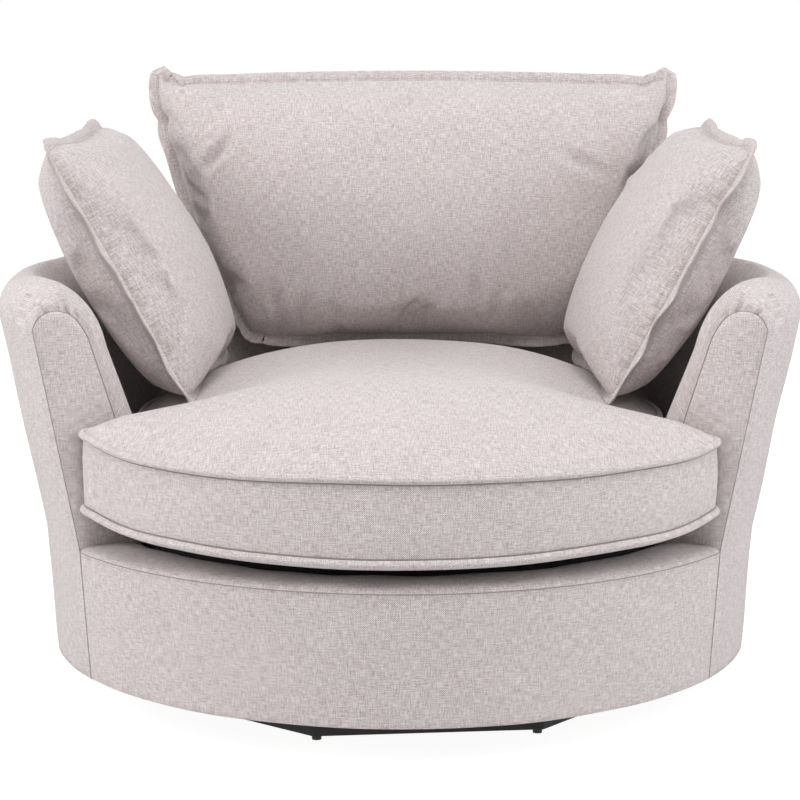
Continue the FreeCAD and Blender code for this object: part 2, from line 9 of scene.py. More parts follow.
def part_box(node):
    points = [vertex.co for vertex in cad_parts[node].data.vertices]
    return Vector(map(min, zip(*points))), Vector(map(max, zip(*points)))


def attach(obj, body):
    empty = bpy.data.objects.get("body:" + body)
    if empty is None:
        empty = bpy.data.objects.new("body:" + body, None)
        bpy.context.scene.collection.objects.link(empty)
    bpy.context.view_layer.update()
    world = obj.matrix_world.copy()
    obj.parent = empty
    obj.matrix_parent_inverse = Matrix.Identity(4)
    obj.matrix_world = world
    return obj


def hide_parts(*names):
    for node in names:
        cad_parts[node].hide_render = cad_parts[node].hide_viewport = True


# Round swivel cuddle chair, dressed over its fixed frame. Metres, and angles in degrees from the front.
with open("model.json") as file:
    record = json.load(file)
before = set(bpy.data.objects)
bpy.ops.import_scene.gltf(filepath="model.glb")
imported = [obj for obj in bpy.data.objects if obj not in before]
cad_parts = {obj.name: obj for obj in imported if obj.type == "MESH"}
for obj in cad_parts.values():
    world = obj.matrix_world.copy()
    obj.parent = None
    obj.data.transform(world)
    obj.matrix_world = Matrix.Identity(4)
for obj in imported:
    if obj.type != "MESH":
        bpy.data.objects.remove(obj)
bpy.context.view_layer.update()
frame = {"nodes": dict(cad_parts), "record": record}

# Camera that took the photograph
CAMERA_DISTANCE = 3.566
CAMERA_HEIGHT = 0.983
CAMERA_PITCH = 9.28
FOCAL_PIXELS = 2459.0
PICTURE_PIXELS = 800.0
SENSOR_WIDTH = 36.0

# Tub, as the frame has it
SKIRT = 0.051
BASE_RADIUS = 0.504
WAIST_HEIGHT = 0.235
WAIST_RADIUS = 0.517
RIM_HEIGHT = 0.545
RIM_RADIUS = 0.579
RIDGE_RISE = 0.059
RIDGE_INSET = 0.05
ARM_TOP_DROP = 0.009
REAR_FLARE_SHARE = 0.2
FLARE_FADE_START = 100.0
REAR_RISE = 0.045
REAR_RISE_START = 105.0
WALL_AT_SEAT = 0.131
WALL_AT_ROLL = 0.111
ROLL_DROP = 0.027
ROLL_BULGE = 0.012
ELBOW_HEIGHT = 0.41
FOOT_HEIGHT = 0.236
ARM_END = 60.0
BACK_SEAM = 120.0
SIDES = (("left", -1.0), ("right", 1.0))
PANEL = 0.012
FACING = 0.018
EDGE_ROUND = 0.036
SEAM_WIDTH = 0.038
FACING_ARCH = (
    (0.573, 0.558),
    (0.562, 0.5665),
    (0.545, 0.569),
    (0.527, 0.565),
    (0.512, 0.552),
    (0.499, 0.531),
)
PAD_COLUMNS = 160
PLEATS = {-1.0: ((-5, 0.0038), (7, 0.0034), (14, 0.0016)), 1.0: ((-7, 0.0036), (4, 0.0034), (11, 0.0026))}
EDGE_START = 63.6
FACING_CROWN = 0.006
HEM = 0.004
WALL_ROWS = 60
FACING_ROWS = 70
PAD_EDGE = 6
PAD_FOOT = 16
PAD_MEASURE = 0.48
PLEAT_ROWS = 15
SEAM_PROUD = 0.0004

# Swell of the cloth over its padding, as amplitude and waves per metre
WALL_SWELL = (0.0022, 9.0)
APRON_SWELL = (0.002, 9.0)
PAD_SWELL = (0.004, 7.0)
FACING_SWELL = (0.0016, 14.0)
RAIL_SWELL = (0.0022, 16.0)

# Rail in front of the seat, and the black deck
RAIL_SEAM_HEIGHT = 0.2335
RAIL_INNER = 0.4245
RAIL_CROWN = 0.006
DECK_FRONT = 0.423
DECK_REAR = 0.3867
DECK_TOP = 0.262
DUST_COVER_INNER = 0.225

# Seat cushion
SEAT_FRONT = 0.523
SEAT_REAR = WAIST_RADIUS - WALL_AT_SEAT - 0.0092
SEAT_SIDE = 0.0272
SEAT_CORNER = 0.026
SEAT_NOOK = 0.012
SEAT_BOTTOM = 0.2623
LOWER_SEAM = 0.2743
UPPER_SEAM = 0.3823
CROWN = 0.091
CROWN_REACH = 0.255
CROWN_POWER = 0.86
RUN_WEIGHT = 1.75
RUN_FADE = 14
CROWN_START = -0.06
CROWN_CENTRE = 0.06
CORNER_LIFTS = {-1.0: (0.021, 0.1), 1.0: (0.011, 0.07)}
LOWER_LIFTS = {-1.0: (0.019, 0.1), 1.0: (0.016, 0.08)}
LOWER_BOW = 0.007
PIPING = 0.0052
PIPING_PROUD = 0.0024
SEAT_CENTRE = np.array((0.0, CROWN_START))

# Rounded lower edges: inset, and how far down; for the cushion also the share of the corner lift
CUSHION_EDGE = ((0.0, 0.0, 1.0), (0.004, 0.55, 0.95), (0.012, 0.92, 0.85), (0.03, 1.0, 0.6), (0.06, 1.0, 0.2))

# Loose cushions
BACK_SIZE = (0.262, 0.412, 0.418)
BACK_DEPTH = 0.235
BACK_LEAN = 9.0
BACK_SHAPE = (0.032, 0.01, 0.014)
SCATTER_SIZE = (0.205, 0.205, 0.41)
SCATTER_DEPTH = 0.15
SCATTER_TILT = 28.8
SCATTER_SHIFT = (0.01, 0.0, -0.004)
SCATTER_SHAPE = (0.0, 0.0, 0.042)
SCATTER_TURN = 4.0
FLANGE = 0.0165
FLANGE_THICKNESS = 0.0034
CLEAR = 0.0012
STUFFING_CAP = {"back": 0.019, "scat": 0.014}
PUCKER = 0.0055
PUCKER_SCALE = 31.0
PUCKER_REACH = 0.03
CROWDING = 0.86
CLOTH_SETTINGS = {
    "quality": 6,
    "mass": 0.3,
    "tension_stiffness": 25.0,
    "compression_stiffness": 25.0,
    "shear_stiffness": 8.0,
    "bending_stiffness": 0.35,
    "use_pressure": True,
    "uniform_pressure_force": 3.2,
    "shrink_min": -0.035,
}
CLOTH_FRAMES = 20

# Sewing
STITCH = 0.0046
STITCH_GAP = 0.0022
THREAD = 0.00042
TWIN = 0.0065


def place(radius, height, phi):
    turn = math.radians(phi)
    return np.array((radius * math.sin(turn), -radius * math.cos(turn), height))


def eased(value, start, stop):
    share = min(max((value - start) / (stop - start), 0.0), 1.0)
    return 0.5 - 0.5 * math.cos(math.pi * share)


def from_front(phi):
    return abs((phi + 180.0) % 360.0 - 180.0)


def rim_radius(phi):
    fade = eased(from_front(phi), FLARE_FADE_START, 180.0)
    return WAIST_RADIUS + (RIM_RADIUS - WAIST_RADIUS) * (1.0 - fade * (1.0 - REAR_FLARE_SHARE))


def rim_height(phi):
    return RIM_HEIGHT + REAR_RISE * eased(from_front(phi), REAR_RISE_START, 180.0)


def outer_radius(height, phi):
    if height <= WAIST_HEIGHT:
        return BASE_RADIUS + (WAIST_RADIUS - BASE_RADIUS) * (height - SKIRT) / (WAIST_HEIGHT - SKIRT)
    share = (height - WAIST_HEIGHT) / (rim_height(phi) - WAIST_HEIGHT)
    return WAIST_RADIUS + (rim_radius(phi) - WAIST_RADIUS) * share


def arc(start, middle, end, count):
    """Points on the circle through three points of a plane."""
    a, b, c = (np.array(p, float) for p in (start, middle, end))
    ab, ac = b - a, c - a
    cross = 2.0 * (ab[0] * ac[1] - ab[1] * ac[0])
    across = ac[1] * ab.dot(ab) - ab[1] * ac.dot(ac)
    upward = ab[0] * ac.dot(ac) - ac[0] * ab.dot(ab)
    centre = a + np.array((across, upward)) / cross
    radius = np.linalg.norm(a - centre)
    first, half, last = (math.atan2(*(p - centre)[::-1]) for p in (a, b, c))
    to_half = (half - first + math.pi) % (2 * math.pi) - math.pi
    to_last = (last - half + math.pi) % (2 * math.pi) - math.pi
    angles = first + np.linspace(0, 1, count) * (to_half + to_last)
    return centre + radius * np.stack((np.cos(angles), np.sin(angles)), axis=1)


def distances(path):
    """The length of a path so far at each of its points."""
    return np.concatenate(([0.0], np.cumsum(np.linalg.norm(np.diff(path, axis=0), axis=1))))


def units(vectors):
    return vectors / np.linalg.norm(vectors, axis=1, keepdims=True)


def laid(across, along):
    """The cloth's own measure over a grid, from the measures of its rows and columns."""
    return np.stack(np.meshgrid(across, along, indexing="ij"), axis=2)


def waves(x, y, z):
    return noise.noise(Vector((x, y, z)))


def resampled(points, count):
    """The same path with evenly spaced points, and its length so far at each."""
    points = np.array(points, float)
    lengths = distances(points)
    even = np.linspace(0, lengths[-1], count)
    return np.stack([np.interp(even, lengths, points[:, k]) for k in range(points.shape[1])], axis=1), even


def smoothed(points, rounds):
    points = np.array(points, float)
    for _ in range(rounds):
        points[1:-1] = points[1:-1] * 0.5 + (points[:-2] + points[2:]) * 0.25
    return points


def wall_section(phi, count=64):
    """The padded wall from the rim over the ridge and down to the seat, as radius and height."""
    rim = np.array((rim_radius(phi), rim_height(phi)))
    side = eased(from_front(phi), ARM_END + 4.0, ARM_END + 24.0)
    rise = RIDGE_RISE - ARM_TOP_DROP * side
    ridge = rim + (-RIDGE_INSET, rise)
    quarter = math.sqrt(0.5)
    shoulder = ridge + (quarter * RIDGE_INSET, -(1.0 - quarter) * rise)
    roll_height = rim[1] - ROLL_DROP
    roll = np.array((outer_radius(roll_height, phi) - WALL_AT_ROLL, roll_height))
    run = (ridge - roll) / np.linalg.norm(ridge - roll)
    bulge = (ridge + roll) / 2 + ROLL_BULGE * np.array((-run[1], run[0]))
    elbow = (outer_radius(ELBOW_HEIGHT, phi) - WALL_AT_SEAT, ELBOW_HEIGHT)
    foot = (outer_radius(FOOT_HEIGHT, phi) - WALL_AT_SEAT, FOOT_HEIGHT)
    path = np.concatenate((arc(rim, shoulder, ridge, 16), arc(ridge, bulge, roll, 16)[1:], [elbow, foot]))
    even, lengths = resampled(path, count)
    return smoothed(even, 3), lengths


def end_limit(radius, distance=FACING):
    """Angle at which a radius meets the plane that lies a distance in front of the arm's end."""
    return ARM_END - math.degrees(math.asin(distance / radius))


# Meshes from grids of points, with the cloth's own measure kept for the weave


def linked(name, data):
    obj = bpy.data.objects.new(name, data)
    bpy.context.scene.collection.objects.link(obj)
    return obj


def build_object(name, vertices, faces, cloth):
    mesh = bpy.data.meshes.new(name)
    mesh.from_pydata([tuple(v) for v in vertices], [], faces)
    mesh.validate()
    lay = mesh.attributes.new("cloth", "FLOAT_VECTOR", "POINT")
    flat = np.zeros((len(vertices), 3), np.float32)
    flat[:, :2] = cloth
    lay.data.foreach_set("vector", flat.ravel())
    mesh.shade_smooth()
    return linked(name, mesh)


def grid_faces(rows, columns, start=0, flip=False):
    faces = []
    for r in range(rows - 1):
        for c in range(columns - 1):
            a = start + r * columns + c
            face = (a, a + 1, a + columns + 1, a + columns)
            faces.append(face[::-1] if flip else face)
    return faces


def grid_object(name, points, cloth, flip=False):
    rows, columns = points.shape[:2]
    return build_object(name, points.reshape(-1, 3), grid_faces(rows, columns, 0, flip), cloth.reshape(-1, 2))


def grid_normals(points):
    across = np.gradient(points, axis=0)
    along = np.gradient(points, axis=1)
    normals = np.cross(along, across)
    size = np.linalg.norm(normals, axis=2, keepdims=True)
    return normals / np.maximum(size, 1e-12)


def softened(points, swell, seed, share):
    """Moves a grid along its normals by smooth noise, as stuffing under cloth does."""
    amplitude, scale = swell
    normals = grid_normals(points)
    rows, columns = points.shape[:2]
    out = points.copy()
    for r in range(rows):
        for c in range(columns):
            if share[r, c]:
                x, y, z = points[r, c] * scale
                soft = waves(x + seed, y - seed, z + 0.5 * seed)
                out[r, c] += normals[r, c] * amplitude * share[r, c] * soft
    return out


def edge_share(rows, columns, margin):
    """1 inside a grid, easing to 0 along all its edges so that neighbours stay joined."""
    r = np.minimum(np.arange(rows), np.arange(rows)[::-1]) / margin
    c = np.minimum(np.arange(columns), np.arange(columns)[::-1]) / margin
    return np.clip(r, 0, 1)[:, None] * np.clip(c, 0, 1)[None, :]


# Shader expressions


class Socket:
    """A shader socket that can be added, multiplied and so on."""

    def __init__(self, net, socket):
        self.net = net
        self.socket = socket

    def math(self, operation, *others):
        return self.net.node("ShaderNodeMath", [self, *others], operation=operation)

    def __add__(self, other):
        return self.math("ADD", other)

    __radd__ = __add__

    def __mul__(self, other):
        return self.math("MULTIPLY", other)

    __rmul__ = __mul__

    def __sub__(self, other):
        return self.math("SUBTRACT", other)

    def __rsub__(self, other):
        return self.net.node("ShaderNodeMath", [other, self], operation="SUBTRACT")

    def __pow__(self, other):
        return self.math("POWER", other)


class Net:
    """The node tree of one material or world."""

    def __init__(self, owner):
        owner.use_nodes = True
        self.owner = owner
        self.tree = owner.node_tree
        self.tree.nodes.clear()

    def feed(self, target, value):
        if isinstance(value, Socket):
            self.tree.links.new(value.socket, target)
        else:
            target.default_value = value

    def node(self, kind, inputs=(), output=0, **settings):
        """Any node: its settings first, then its sockets by place or by name."""
        made = self.tree.nodes.new(kind)
        for key, value in settings.items():
            setattr(made, key, value)
        pairs = inputs.items() if isinstance(inputs, dict) else enumerate(inputs)
        for key, value in pairs:
            self.feed(made.inputs[key], value)
        return Socket(self, made.outputs[output]) if len(made.outputs) else None

    def mix(self, share, first, second):
        inputs = {0: share, 6: first, 7: second}
        return self.node("ShaderNodeMix", inputs, output=2, data_type="RGBA")

    def noise(self, vector, scale, detail=2.0, rough=0.5):
        inputs = {"Vector": vector, "Scale": scale, "Detail": detail, "Roughness": rough}
        return self.node("ShaderNodeTexNoise", inputs)

    def stretched(self, vector, scale):
        return self.node("ShaderNodeVectorMath", [vector, scale], operation="MULTIPLY")

    def place(self):
        return self.node("ShaderNodeTexCoord", output=3)

    def finish(self, base, roughness, bump, strength=0.5, distance=0.0004, **constants):
        normal = self.node("ShaderNodeBump", {"Strength": strength, "Distance": distance, "Height": bump})
        inputs = {"Base Color": base, "Roughness": roughness, "Normal": normal}
        inputs.update(constants)
        shader = self.node("ShaderNodeBsdfPrincipled", inputs)
        self.node("ShaderNodeOutputMaterial", [shader])
        return self.owner


def color(red, green, blue):
    return (red, green, blue, 1.0)


def woven_upholstery(name, light, dark, thread=1.25):
    """Plain linen-look weave with slubs, following the cloth's own threads."""
    net = Net(bpy.data.materials.new(name))
    cloth = net.node("ShaderNodeAttribute", output=1, attribute_name="cloth")
    per_metre = 1000.0 / thread
    threads = net.stretched(cloth, (per_metre, per_metre, 1.0))
    warp, weft = (
        (net.node("ShaderNodeSeparateXYZ", [threads], output=way) * math.pi).math("SINE") for way in (0, 1)
    )
    crossing = warp * weft
    warp_slub, weft_slub, fleck, cloud = (
        net.noise(net.stretched(cloth, (across, along, 1.0)), 1.0, detail, rough)
        for across, along, detail, rough in (
            (640.0, 75.0, 2.0, 0.6),
            (75.0, 640.0, 2.0, 0.6),
            (900.0, 900.0, 1.0, 0.7),
            (14.0, 14.0, 3.0, 0.55),
        )
    )
    slubs = (warp_slub + weft_slub) * 0.5
    tone = slubs * 3.4 + fleck * 1.9 + cloud * 0.2 + crossing * 0.42 - 2.24
    base = net.mix(tone, dark, light)
    rough = fleck * 0.12 + 0.84
    height = crossing * 0.5 + slubs * 1.3 + fleck * 0.5
    sheen = {"Sheen Weight": 0.25, "Sheen Roughness": 0.55, "Specular IOR Level": 0.2}
    return net.finish(base, rough, height, 0.55, 0.0005, **sheen)


def plain_cloth(name, light, dark, grain, roughness):
    """A dense plain cloth such as lining or felt, speckled by its fibres."""
    net = Net(bpy.data.materials.new(name))
    place_in = net.place()
    fibres = net.noise(place_in, grain, 4.0, 0.65)
    patches = net.noise(place_in, 9.0, 2.0)
    base = net.mix(fibres * 0.8 + patches * 0.3 - 0.05, dark, light)
    return net.finish(base, patches * 0.1 + roughness, fibres, 0.5, 0.0006)


def sawn_timber(name, light, dark, stretch):
    """Grain that runs along one direction, with pores."""
    net = Net(bpy.data.materials.new(name))
    place_in = net.place()
    scaled = net.stretched(place_in, stretch)
    grain = net.noise(scaled, 1.0, 6.0, 0.6)
    inputs = {"Vector": scaled, "Scale": 0.6, "Distortion": 6.0, "Detail": 3.0}
    bands = net.node("ShaderNodeTexWave", inputs, wave_type="RINGS")
    base = net.mix(grain * 0.7 + bands * 0.35 - 0.05, dark, light)
    return net.finish(base, grain * 0.2 + 0.55, grain, 0.35, 0.0006)


def worked_metal(name, tint, streak, roughness):
    """Steel with fine rolling marks and slightly uneven plating."""
    net = Net(bpy.data.materials.new(name))
    place_in = net.place()
    scaled = net.stretched(place_in, streak)
    marks = net.noise(scaled, 1.0, 4.0, 0.6)
    bloom = net.noise(place_in, 55.0, 3.0)
    deep = tuple(0.82 * channel for channel in tint[:3]) + (1.0,)
    base = net.mix(marks * 0.6 + bloom * 0.5 - 0.05, deep, tint)
    return net.finish(base, marks * 0.2 + roughness, marks, 0.15, 0.0002, Metallic=1.0)


def moulded_plastic(name, light, dark):
    net = Net(bpy.data.materials.new(name))
    place_in = net.place()
    grain = net.noise(place_in, 900.0, 2.0)
    base = net.mix(grain, dark, light)
    return net.finish(base, grain * 0.15 + 0.45, grain, 0.3, 0.0002)


LIGHT_YARN = color(0.725, 0.665, 0.658)
DARK_YARN = color(0.35, 0.3, 0.288)
UPHOLSTERY = woven_upholstery("upholstery_weave", LIGHT_YARN, DARK_YARN)
UPHOLSTERY_PILLOW = woven_upholstery("cushion_weave", LIGHT_YARN, DARK_YARN, 1.3)
PIPING_CLOTH = woven_upholstery("piping_weave", LIGHT_YARN, DARK_YARN, 1.1)
THREAD_CLOTH = plain_cloth("sewing_thread", color(0.5, 0.43, 0.41), color(0.36, 0.3, 0.285), 1500.0, 0.7)
# Dark cloth for the strips of painted shade along seams, where a groove would be shaded.
SEAM_SHADE_CLOTH = plain_cloth("seam_shadow", color(0.38, 0.32, 0.31), color(0.24, 0.2, 0.19), 900.0, 0.9)
BLACK_YARN = color(0.012, 0.012, 0.013)
BLACK_CLOTH = plain_cloth("black_lining", BLACK_YARN, color(0.005, 0.005, 0.005), 1300.0, 0.85)
SLOT_FINISH = {
    "upholstery": UPHOLSTERY,
    "black_cloth": BLACK_CLOTH,
    "felt": plain_cloth("grey_felt", color(0.3, 0.3, 0.31), color(0.16, 0.16, 0.17), 700.0, 0.9),
    "foam": plain_cloth("cut_foam", color(0.86, 0.82, 0.66), color(0.7, 0.65, 0.48), 1100.0, 0.9),
    "fibre": plain_cloth("fibre_wadding", color(0.9, 0.9, 0.88), color(0.74, 0.74, 0.72), 500.0, 0.95),
    "timber": sawn_timber("sawn_timber", color(0.62, 0.44, 0.27), color(0.4, 0.26, 0.14), (60.0, 60.0, 4.0)),
    "plywood": sawn_timber("plywood", color(0.7, 0.53, 0.34), color(0.5, 0.35, 0.2), (5.0, 60.0, 240.0)),
    "black_board": sawn_timber(
        "black_board", color(0.02, 0.02, 0.021), color(0.008, 0.008, 0.008), (8.0, 90.0, 90.0)
    ),
    "black_plastic": moulded_plastic("black_plastic", color(0.03, 0.03, 0.03), color(0.014, 0.014, 0.014)),
    "zinc_steel": worked_metal("zinc_plate", color(0.62, 0.63, 0.64), (900.0, 30.0, 30.0), 0.3),
    "bright_steel": worked_metal("bright_steel", color(0.74, 0.75, 0.76), (200.0, 200.0, 200.0), 0.12),
}


def dressed(obj, body, finish, nodes=()):
    """Gives a piece its finish, parents it to its frame body, and hides the frame nodes that it takes the
    place of.
    """
    obj.data.materials.clear()
    obj.data.materials.append(finish)
    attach(obj, body)
    if nodes:
        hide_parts(*nodes)
    return obj


# Tubes, seams and stitches along paths


def tube_object(name, path, radius, sides=12):
    """A cord of cloth along a closed path, with the cloth's measure along and round it."""
    path = np.array(path, float)
    path = np.concatenate((path, path[:1]))
    ahead = np.gradient(path, axis=0)
    ahead[0] = ahead[-1] = path[1] - path[-2]
    ahead = units(ahead)
    side = units(np.cross(ahead, (0.0, 0.0, 1.0)))
    above = np.cross(side, ahead)
    angles = np.linspace(0, 2 * math.pi, sides + 1)
    ring = np.cos(angles)[None, :, None] * side[:, None] + np.sin(angles)[None, :, None] * above[:, None]
    return grid_object(name, path[:, None] + radius * ring, laid(distances(path), angles * radius))


def stitch_faces(start):
    a, b, c, d, e, f = range(start, start + 6)
    return [(a, b, c), (a, c, d), (a, d, e), (a, e, b), (f, c, b), (f, d, c), (f, e, d), (f, b, e)]


def sewn_line(name, path, normals, body, lines=(0.0,), seam_shade_width=0.0006):
    """A seam, drawn as a thin dark strip of painted shade where its groove would be shaded, with a row of
    stitches along each line beside it.
    """
    path = np.array(path, float)
    normals = units(np.array(normals, float))
    ahead = units(np.gradient(path, axis=0))
    side = np.cross(ahead, normals)
    lengths = distances(path)
    # The strip is painted shade: dark cloth laid just above the surface where the seam's groove would be
    # shaded.
    if seam_shade_width:
        shares = np.array((-1.0, -0.4, 0.4, 1.0))
        lift = np.array((0.0001, 0.0004, 0.0004, 0.0001))
        spread = side[:, None] * (seam_shade_width * shares)[None, :, None]
        points = path[:, None] + spread + normals[:, None] * lift[None, :, None]
        strip = grid_object(name + "_seam", points, laid(lengths, shares * seam_shade_width), flip=True)
        dressed(strip, body, SEAM_SHADE_CLOTH)
    vertices, faces = [], []
    for line in lines:
        position = STITCH
        while position < lengths[-1] - STITCH:
            middle, along, out, across = (
                np.array([np.interp(position, lengths, field[:, k]) for k in range(3)])
                for field in (path, ahead, normals, side)
            )
            middle = middle + across * line + out * THREAD
            ends = along * STITCH / 2
            ring = [across * THREAD, out * THREAD * 1.5, -across * THREAD, -out * THREAD]
            faces += stitch_faces(len(vertices))
            vertices += [middle - ends] + [middle + r for r in ring] + [middle + ends]
            position += STITCH + STITCH_GAP
    if vertices:
        stitches = build_object(name + "_stitches", vertices, faces, np.zeros((len(vertices), 2)))
        dressed(stitches, body, THREAD_CLOTH)


# Outer wall, padded inner wall and arm fronts


def hem_heights(top, count):
    """Heights and insets from the turned-in hem at the skirt up to a top edge."""
    hem = [(SKIRT + 0.006, PANEL), (SKIRT + 0.0008, PANEL * 0.8), (SKIRT, HEM), (SKIRT + 0.0012, 0.0012)]
    rest = [(SKIRT + HEM + (top - SKIRT - HEM) * k / count, 0.0) for k in range(count + 1)]
    return hem + rest


def wall_cover(part, sign, columns, start, stop, seed):
    """A panel of the tub's outside from hem to rim; start gives its first angle at a share of the height."""
    heights = hem_heights(1.0, WALL_ROWS)
    points = np.zeros((len(heights), columns, 3))
    cloth = np.zeros((len(heights), columns, 2))
    for r, (level, inset) in enumerate(heights):
        share = (level - SKIRT) / (1.0 - SKIRT)
        first = start(share)
        for c in range(columns):
            phi = first + (stop - first) * c / (columns - 1)
            height = SKIRT + (rim_height(phi) - SKIRT) * share if inset == 0.0 else level
            points[r, c] = place(outer_radius(height, phi) - inset, height, sign * phi)
            cloth[r, c] = (math.radians(phi) * BASE_RADIUS, height)
    points = softened(points, WALL_SWELL, seed, edge_share(len(heights), columns, 8))
    dressed(grid_object(part + "_cover", points, cloth, flip=sign < 0), "chair", UPHOLSTERY, nodes=[part])


def front_edge(share):
    return end_limit(BASE_RADIUS + (RIM_RADIUS - BASE_RADIUS) * share)


def make_outer_panels():
    for name, sign in SIDES:
        wall_cover("outside_arm_" + name, sign, 90, front_edge, BACK_SEAM, 3.0 + sign)
    wall_cover("outside_back", 1.0, 150, lambda share: BACK_SEAM, 360.0 - BACK_SEAM, 7.0)
    for name, sign in SIDES:
        phi = sign * BACK_SEAM
        levels = np.linspace(SKIRT + 0.002, rim_height(phi), 120)
        path = [place(outer_radius(z, phi) + SEAM_PROUD, z, phi) for z in levels]
        normals = [place(1.0, 0.0, phi) for _ in levels]
        sewn_line("outside_back_" + name, path, normals, "chair", lines=(-TWIN, TWIN))


def facing_seam(phi):
    """The seam round the facing, as radius and height on its plane, from the rim to the seat."""
    section, _ = wall_section(phi, PAD_COLUMNS)
    outside = [(outer_radius(RIM_HEIGHT, phi), RIM_HEIGHT)]
    inside = [(x + SEAM_WIDTH, z) for x, z in section if z < ELBOW_HEIGHT]
    path = np.array([outside[0]] + list(FACING_ARCH) + inside)
    seam, _ = resampled(path, PAD_COLUMNS)
    return section, smoothed(seam, 14)


def forward_of(sign):
    turn = math.radians(sign * ARM_END)
    return np.array((-math.cos(turn), -math.sin(turn), 0.0)) * sign


def pad_share(rows):
    """How freely a pad may swell: not at its edges, and less towards the seat."""
    share = edge_share(rows, PAD_COLUMNS, PAD_EDGE)
    share[:, -PAD_FOOT:] *= np.linspace(1.0, 0.0, PAD_FOOT)
    return share


def wall_pad(part, points, run, lengths, flip):
    pad = grid_object(part + "_pad", points, laid(run, lengths), flip)
    dressed(pad, "chair", UPHOLSTERY, nodes=[part])


def make_inner_pads():
    for name, sign in SIDES:
        section, seam = facing_seam(ARM_END)
        forward = forward_of(sign)
        rows = []
        sweep = np.linspace(BACK_SEAM, EDGE_START, 70)
        for phi in sweep:
            profile, lengths = wall_section(phi, PAD_COLUMNS)
            rows.append([place(p[0], p[1], sign * phi) for p in profile])
        rounding = np.linspace(0.0, 1.0, 25)[1:]
        for t in rounding:
            depth = FACING - EDGE_ROUND + EDGE_ROUND * math.sin(t * math.pi / 2)
            share = 1.0 - math.cos(t * math.pi / 2)
            blend = section + (seam - section) * share
            rows.append([place(p[0], p[1], sign * ARM_END) + forward * depth for p in blend])
        run = np.concatenate((np.radians(BACK_SEAM - sweep) * PAD_MEASURE, 0.47 + 0.05 * rounding))
        points = softened(np.array(rows), PAD_SWELL, 12.0 + sign, pad_share(len(rows)))
        wall_pad("inside_arm_" + name, pleated(points, sign, seam), run, lengths, sign > 0)
        make_facing(name, sign, seam)
    phis = np.linspace(BACK_SEAM, 360.0 - BACK_SEAM, 130)
    rows = []
    for phi in phis:
        profile, lengths = wall_section(phi, PAD_COLUMNS)
        rows.append([place(p[0], p[1], phi) for p in profile])
    points = softened(np.array(rows), PAD_SWELL, 15.0, pad_share(len(rows)))
    wall_pad("inside_back", points, np.radians(phis) * PAD_MEASURE, lengths, True)
    for name, sign in SIDES:
        phi = sign * BACK_SEAM
        profile, _ = wall_section(phi, 120)
        path = [place(p[0], p[1], phi) for p in profile]
        normals = [place(-d[1], d[0], phi) for d in np.gradient(profile, axis=0)]
        sewn_line("inside_back_" + name, path, normals, "chair", lines=(-TWIN, TWIN))


def pleated(points, sign, seam):
    """Small folds where the cloth of the roll is gathered into the top of the facing's seam."""
    top = int(seam[:, 1].argmax())
    rows = points.shape[0]
    normals = grid_normals(points)
    if normals[rows - 20, top, 2] < 0:
        normals = -normals
    for shift, depth in PLEATS[sign]:
        for r in range(rows - PLEAT_ROWS, rows):
            reach = math.sin(math.pi * (r - rows + PLEAT_ROWS) / (PLEAT_ROWS + 2.0))
            for c in range(max(top + shift - 6, 0), min(top + shift + 7, points.shape[1])):
                away = (c - top - shift) / 1.1
                fold = math.exp(-(away**2)) - 0.45 * math.exp(-((abs(away) - 2.4) ** 2))
                points[r, c] -= normals[r, c] * depth * fold * reach
    return points


def make_facing(name, sign, seam):
    """The padded panel on the arm's front, between its inner and outer seams."""
    forward = forward_of(sign)
    top = int(seam[:, 1].argmax())
    inner, _ = resampled(seam[top:], FACING_ROWS)
    edge_heights = np.linspace(RIM_HEIGHT, FOOT_HEIGHT, 40)[1:]
    edge = np.array([(outer_radius(z, ARM_END), z) for z in edge_heights])
    outer, _ = resampled(np.concatenate((seam[: top + 1][::-1], edge)), FACING_ROWS)
    columns = 18
    points = np.zeros((FACING_ROWS, columns, 3))
    cloth = np.zeros((FACING_ROWS, columns, 2))
    for r in range(FACING_ROWS):
        width = np.linalg.norm(outer[r] - inner[r])
        for c in range(columns):
            share = c / (columns - 1)
            flat = inner[r] + (outer[r] - inner[r]) * share
            crown = FACING_CROWN * math.sin(math.pi * share) ** 0.6 * min(1.0, width / 0.05)
            points[r, c] = place(flat[0], flat[1], sign * ARM_END) + forward * (FACING + crown)
            cloth[r, c] = flat
    points = softened(points, FACING_SWELL, 21.0 + sign, edge_share(FACING_ROWS, columns, 4))
    panel = grid_object("arm_facing_" + name + "_panel", points, cloth, flip=sign < 0)
    dressed(panel, "chair", UPHOLSTERY, nodes=["arm_facing_" + name])
    loop = np.concatenate((inner[::-1][2:], outer[1:]))
    path = [place(p[0], p[1], sign * ARM_END) + forward * (FACING + 0.0006) for p in loop]
    sewn_line("arm_facing_" + name, path, [forward for _ in path], "chair", lines=(-TWIN * sign,))
    levels = np.linspace(SKIRT + 0.002, FOOT_HEIGHT, 60)
    path = []
    for z in levels:
        radius = outer_radius(z, ARM_END)
        path.append(place(radius + 0.0005, z, sign * end_limit(radius)))
    normals = [place(1.0, 0.0, sign * end_limit(WAIST_RADIUS)) for _ in levels]
    sewn_line("apron_side_" + name, path, normals, "chair", lines=(0.0,))


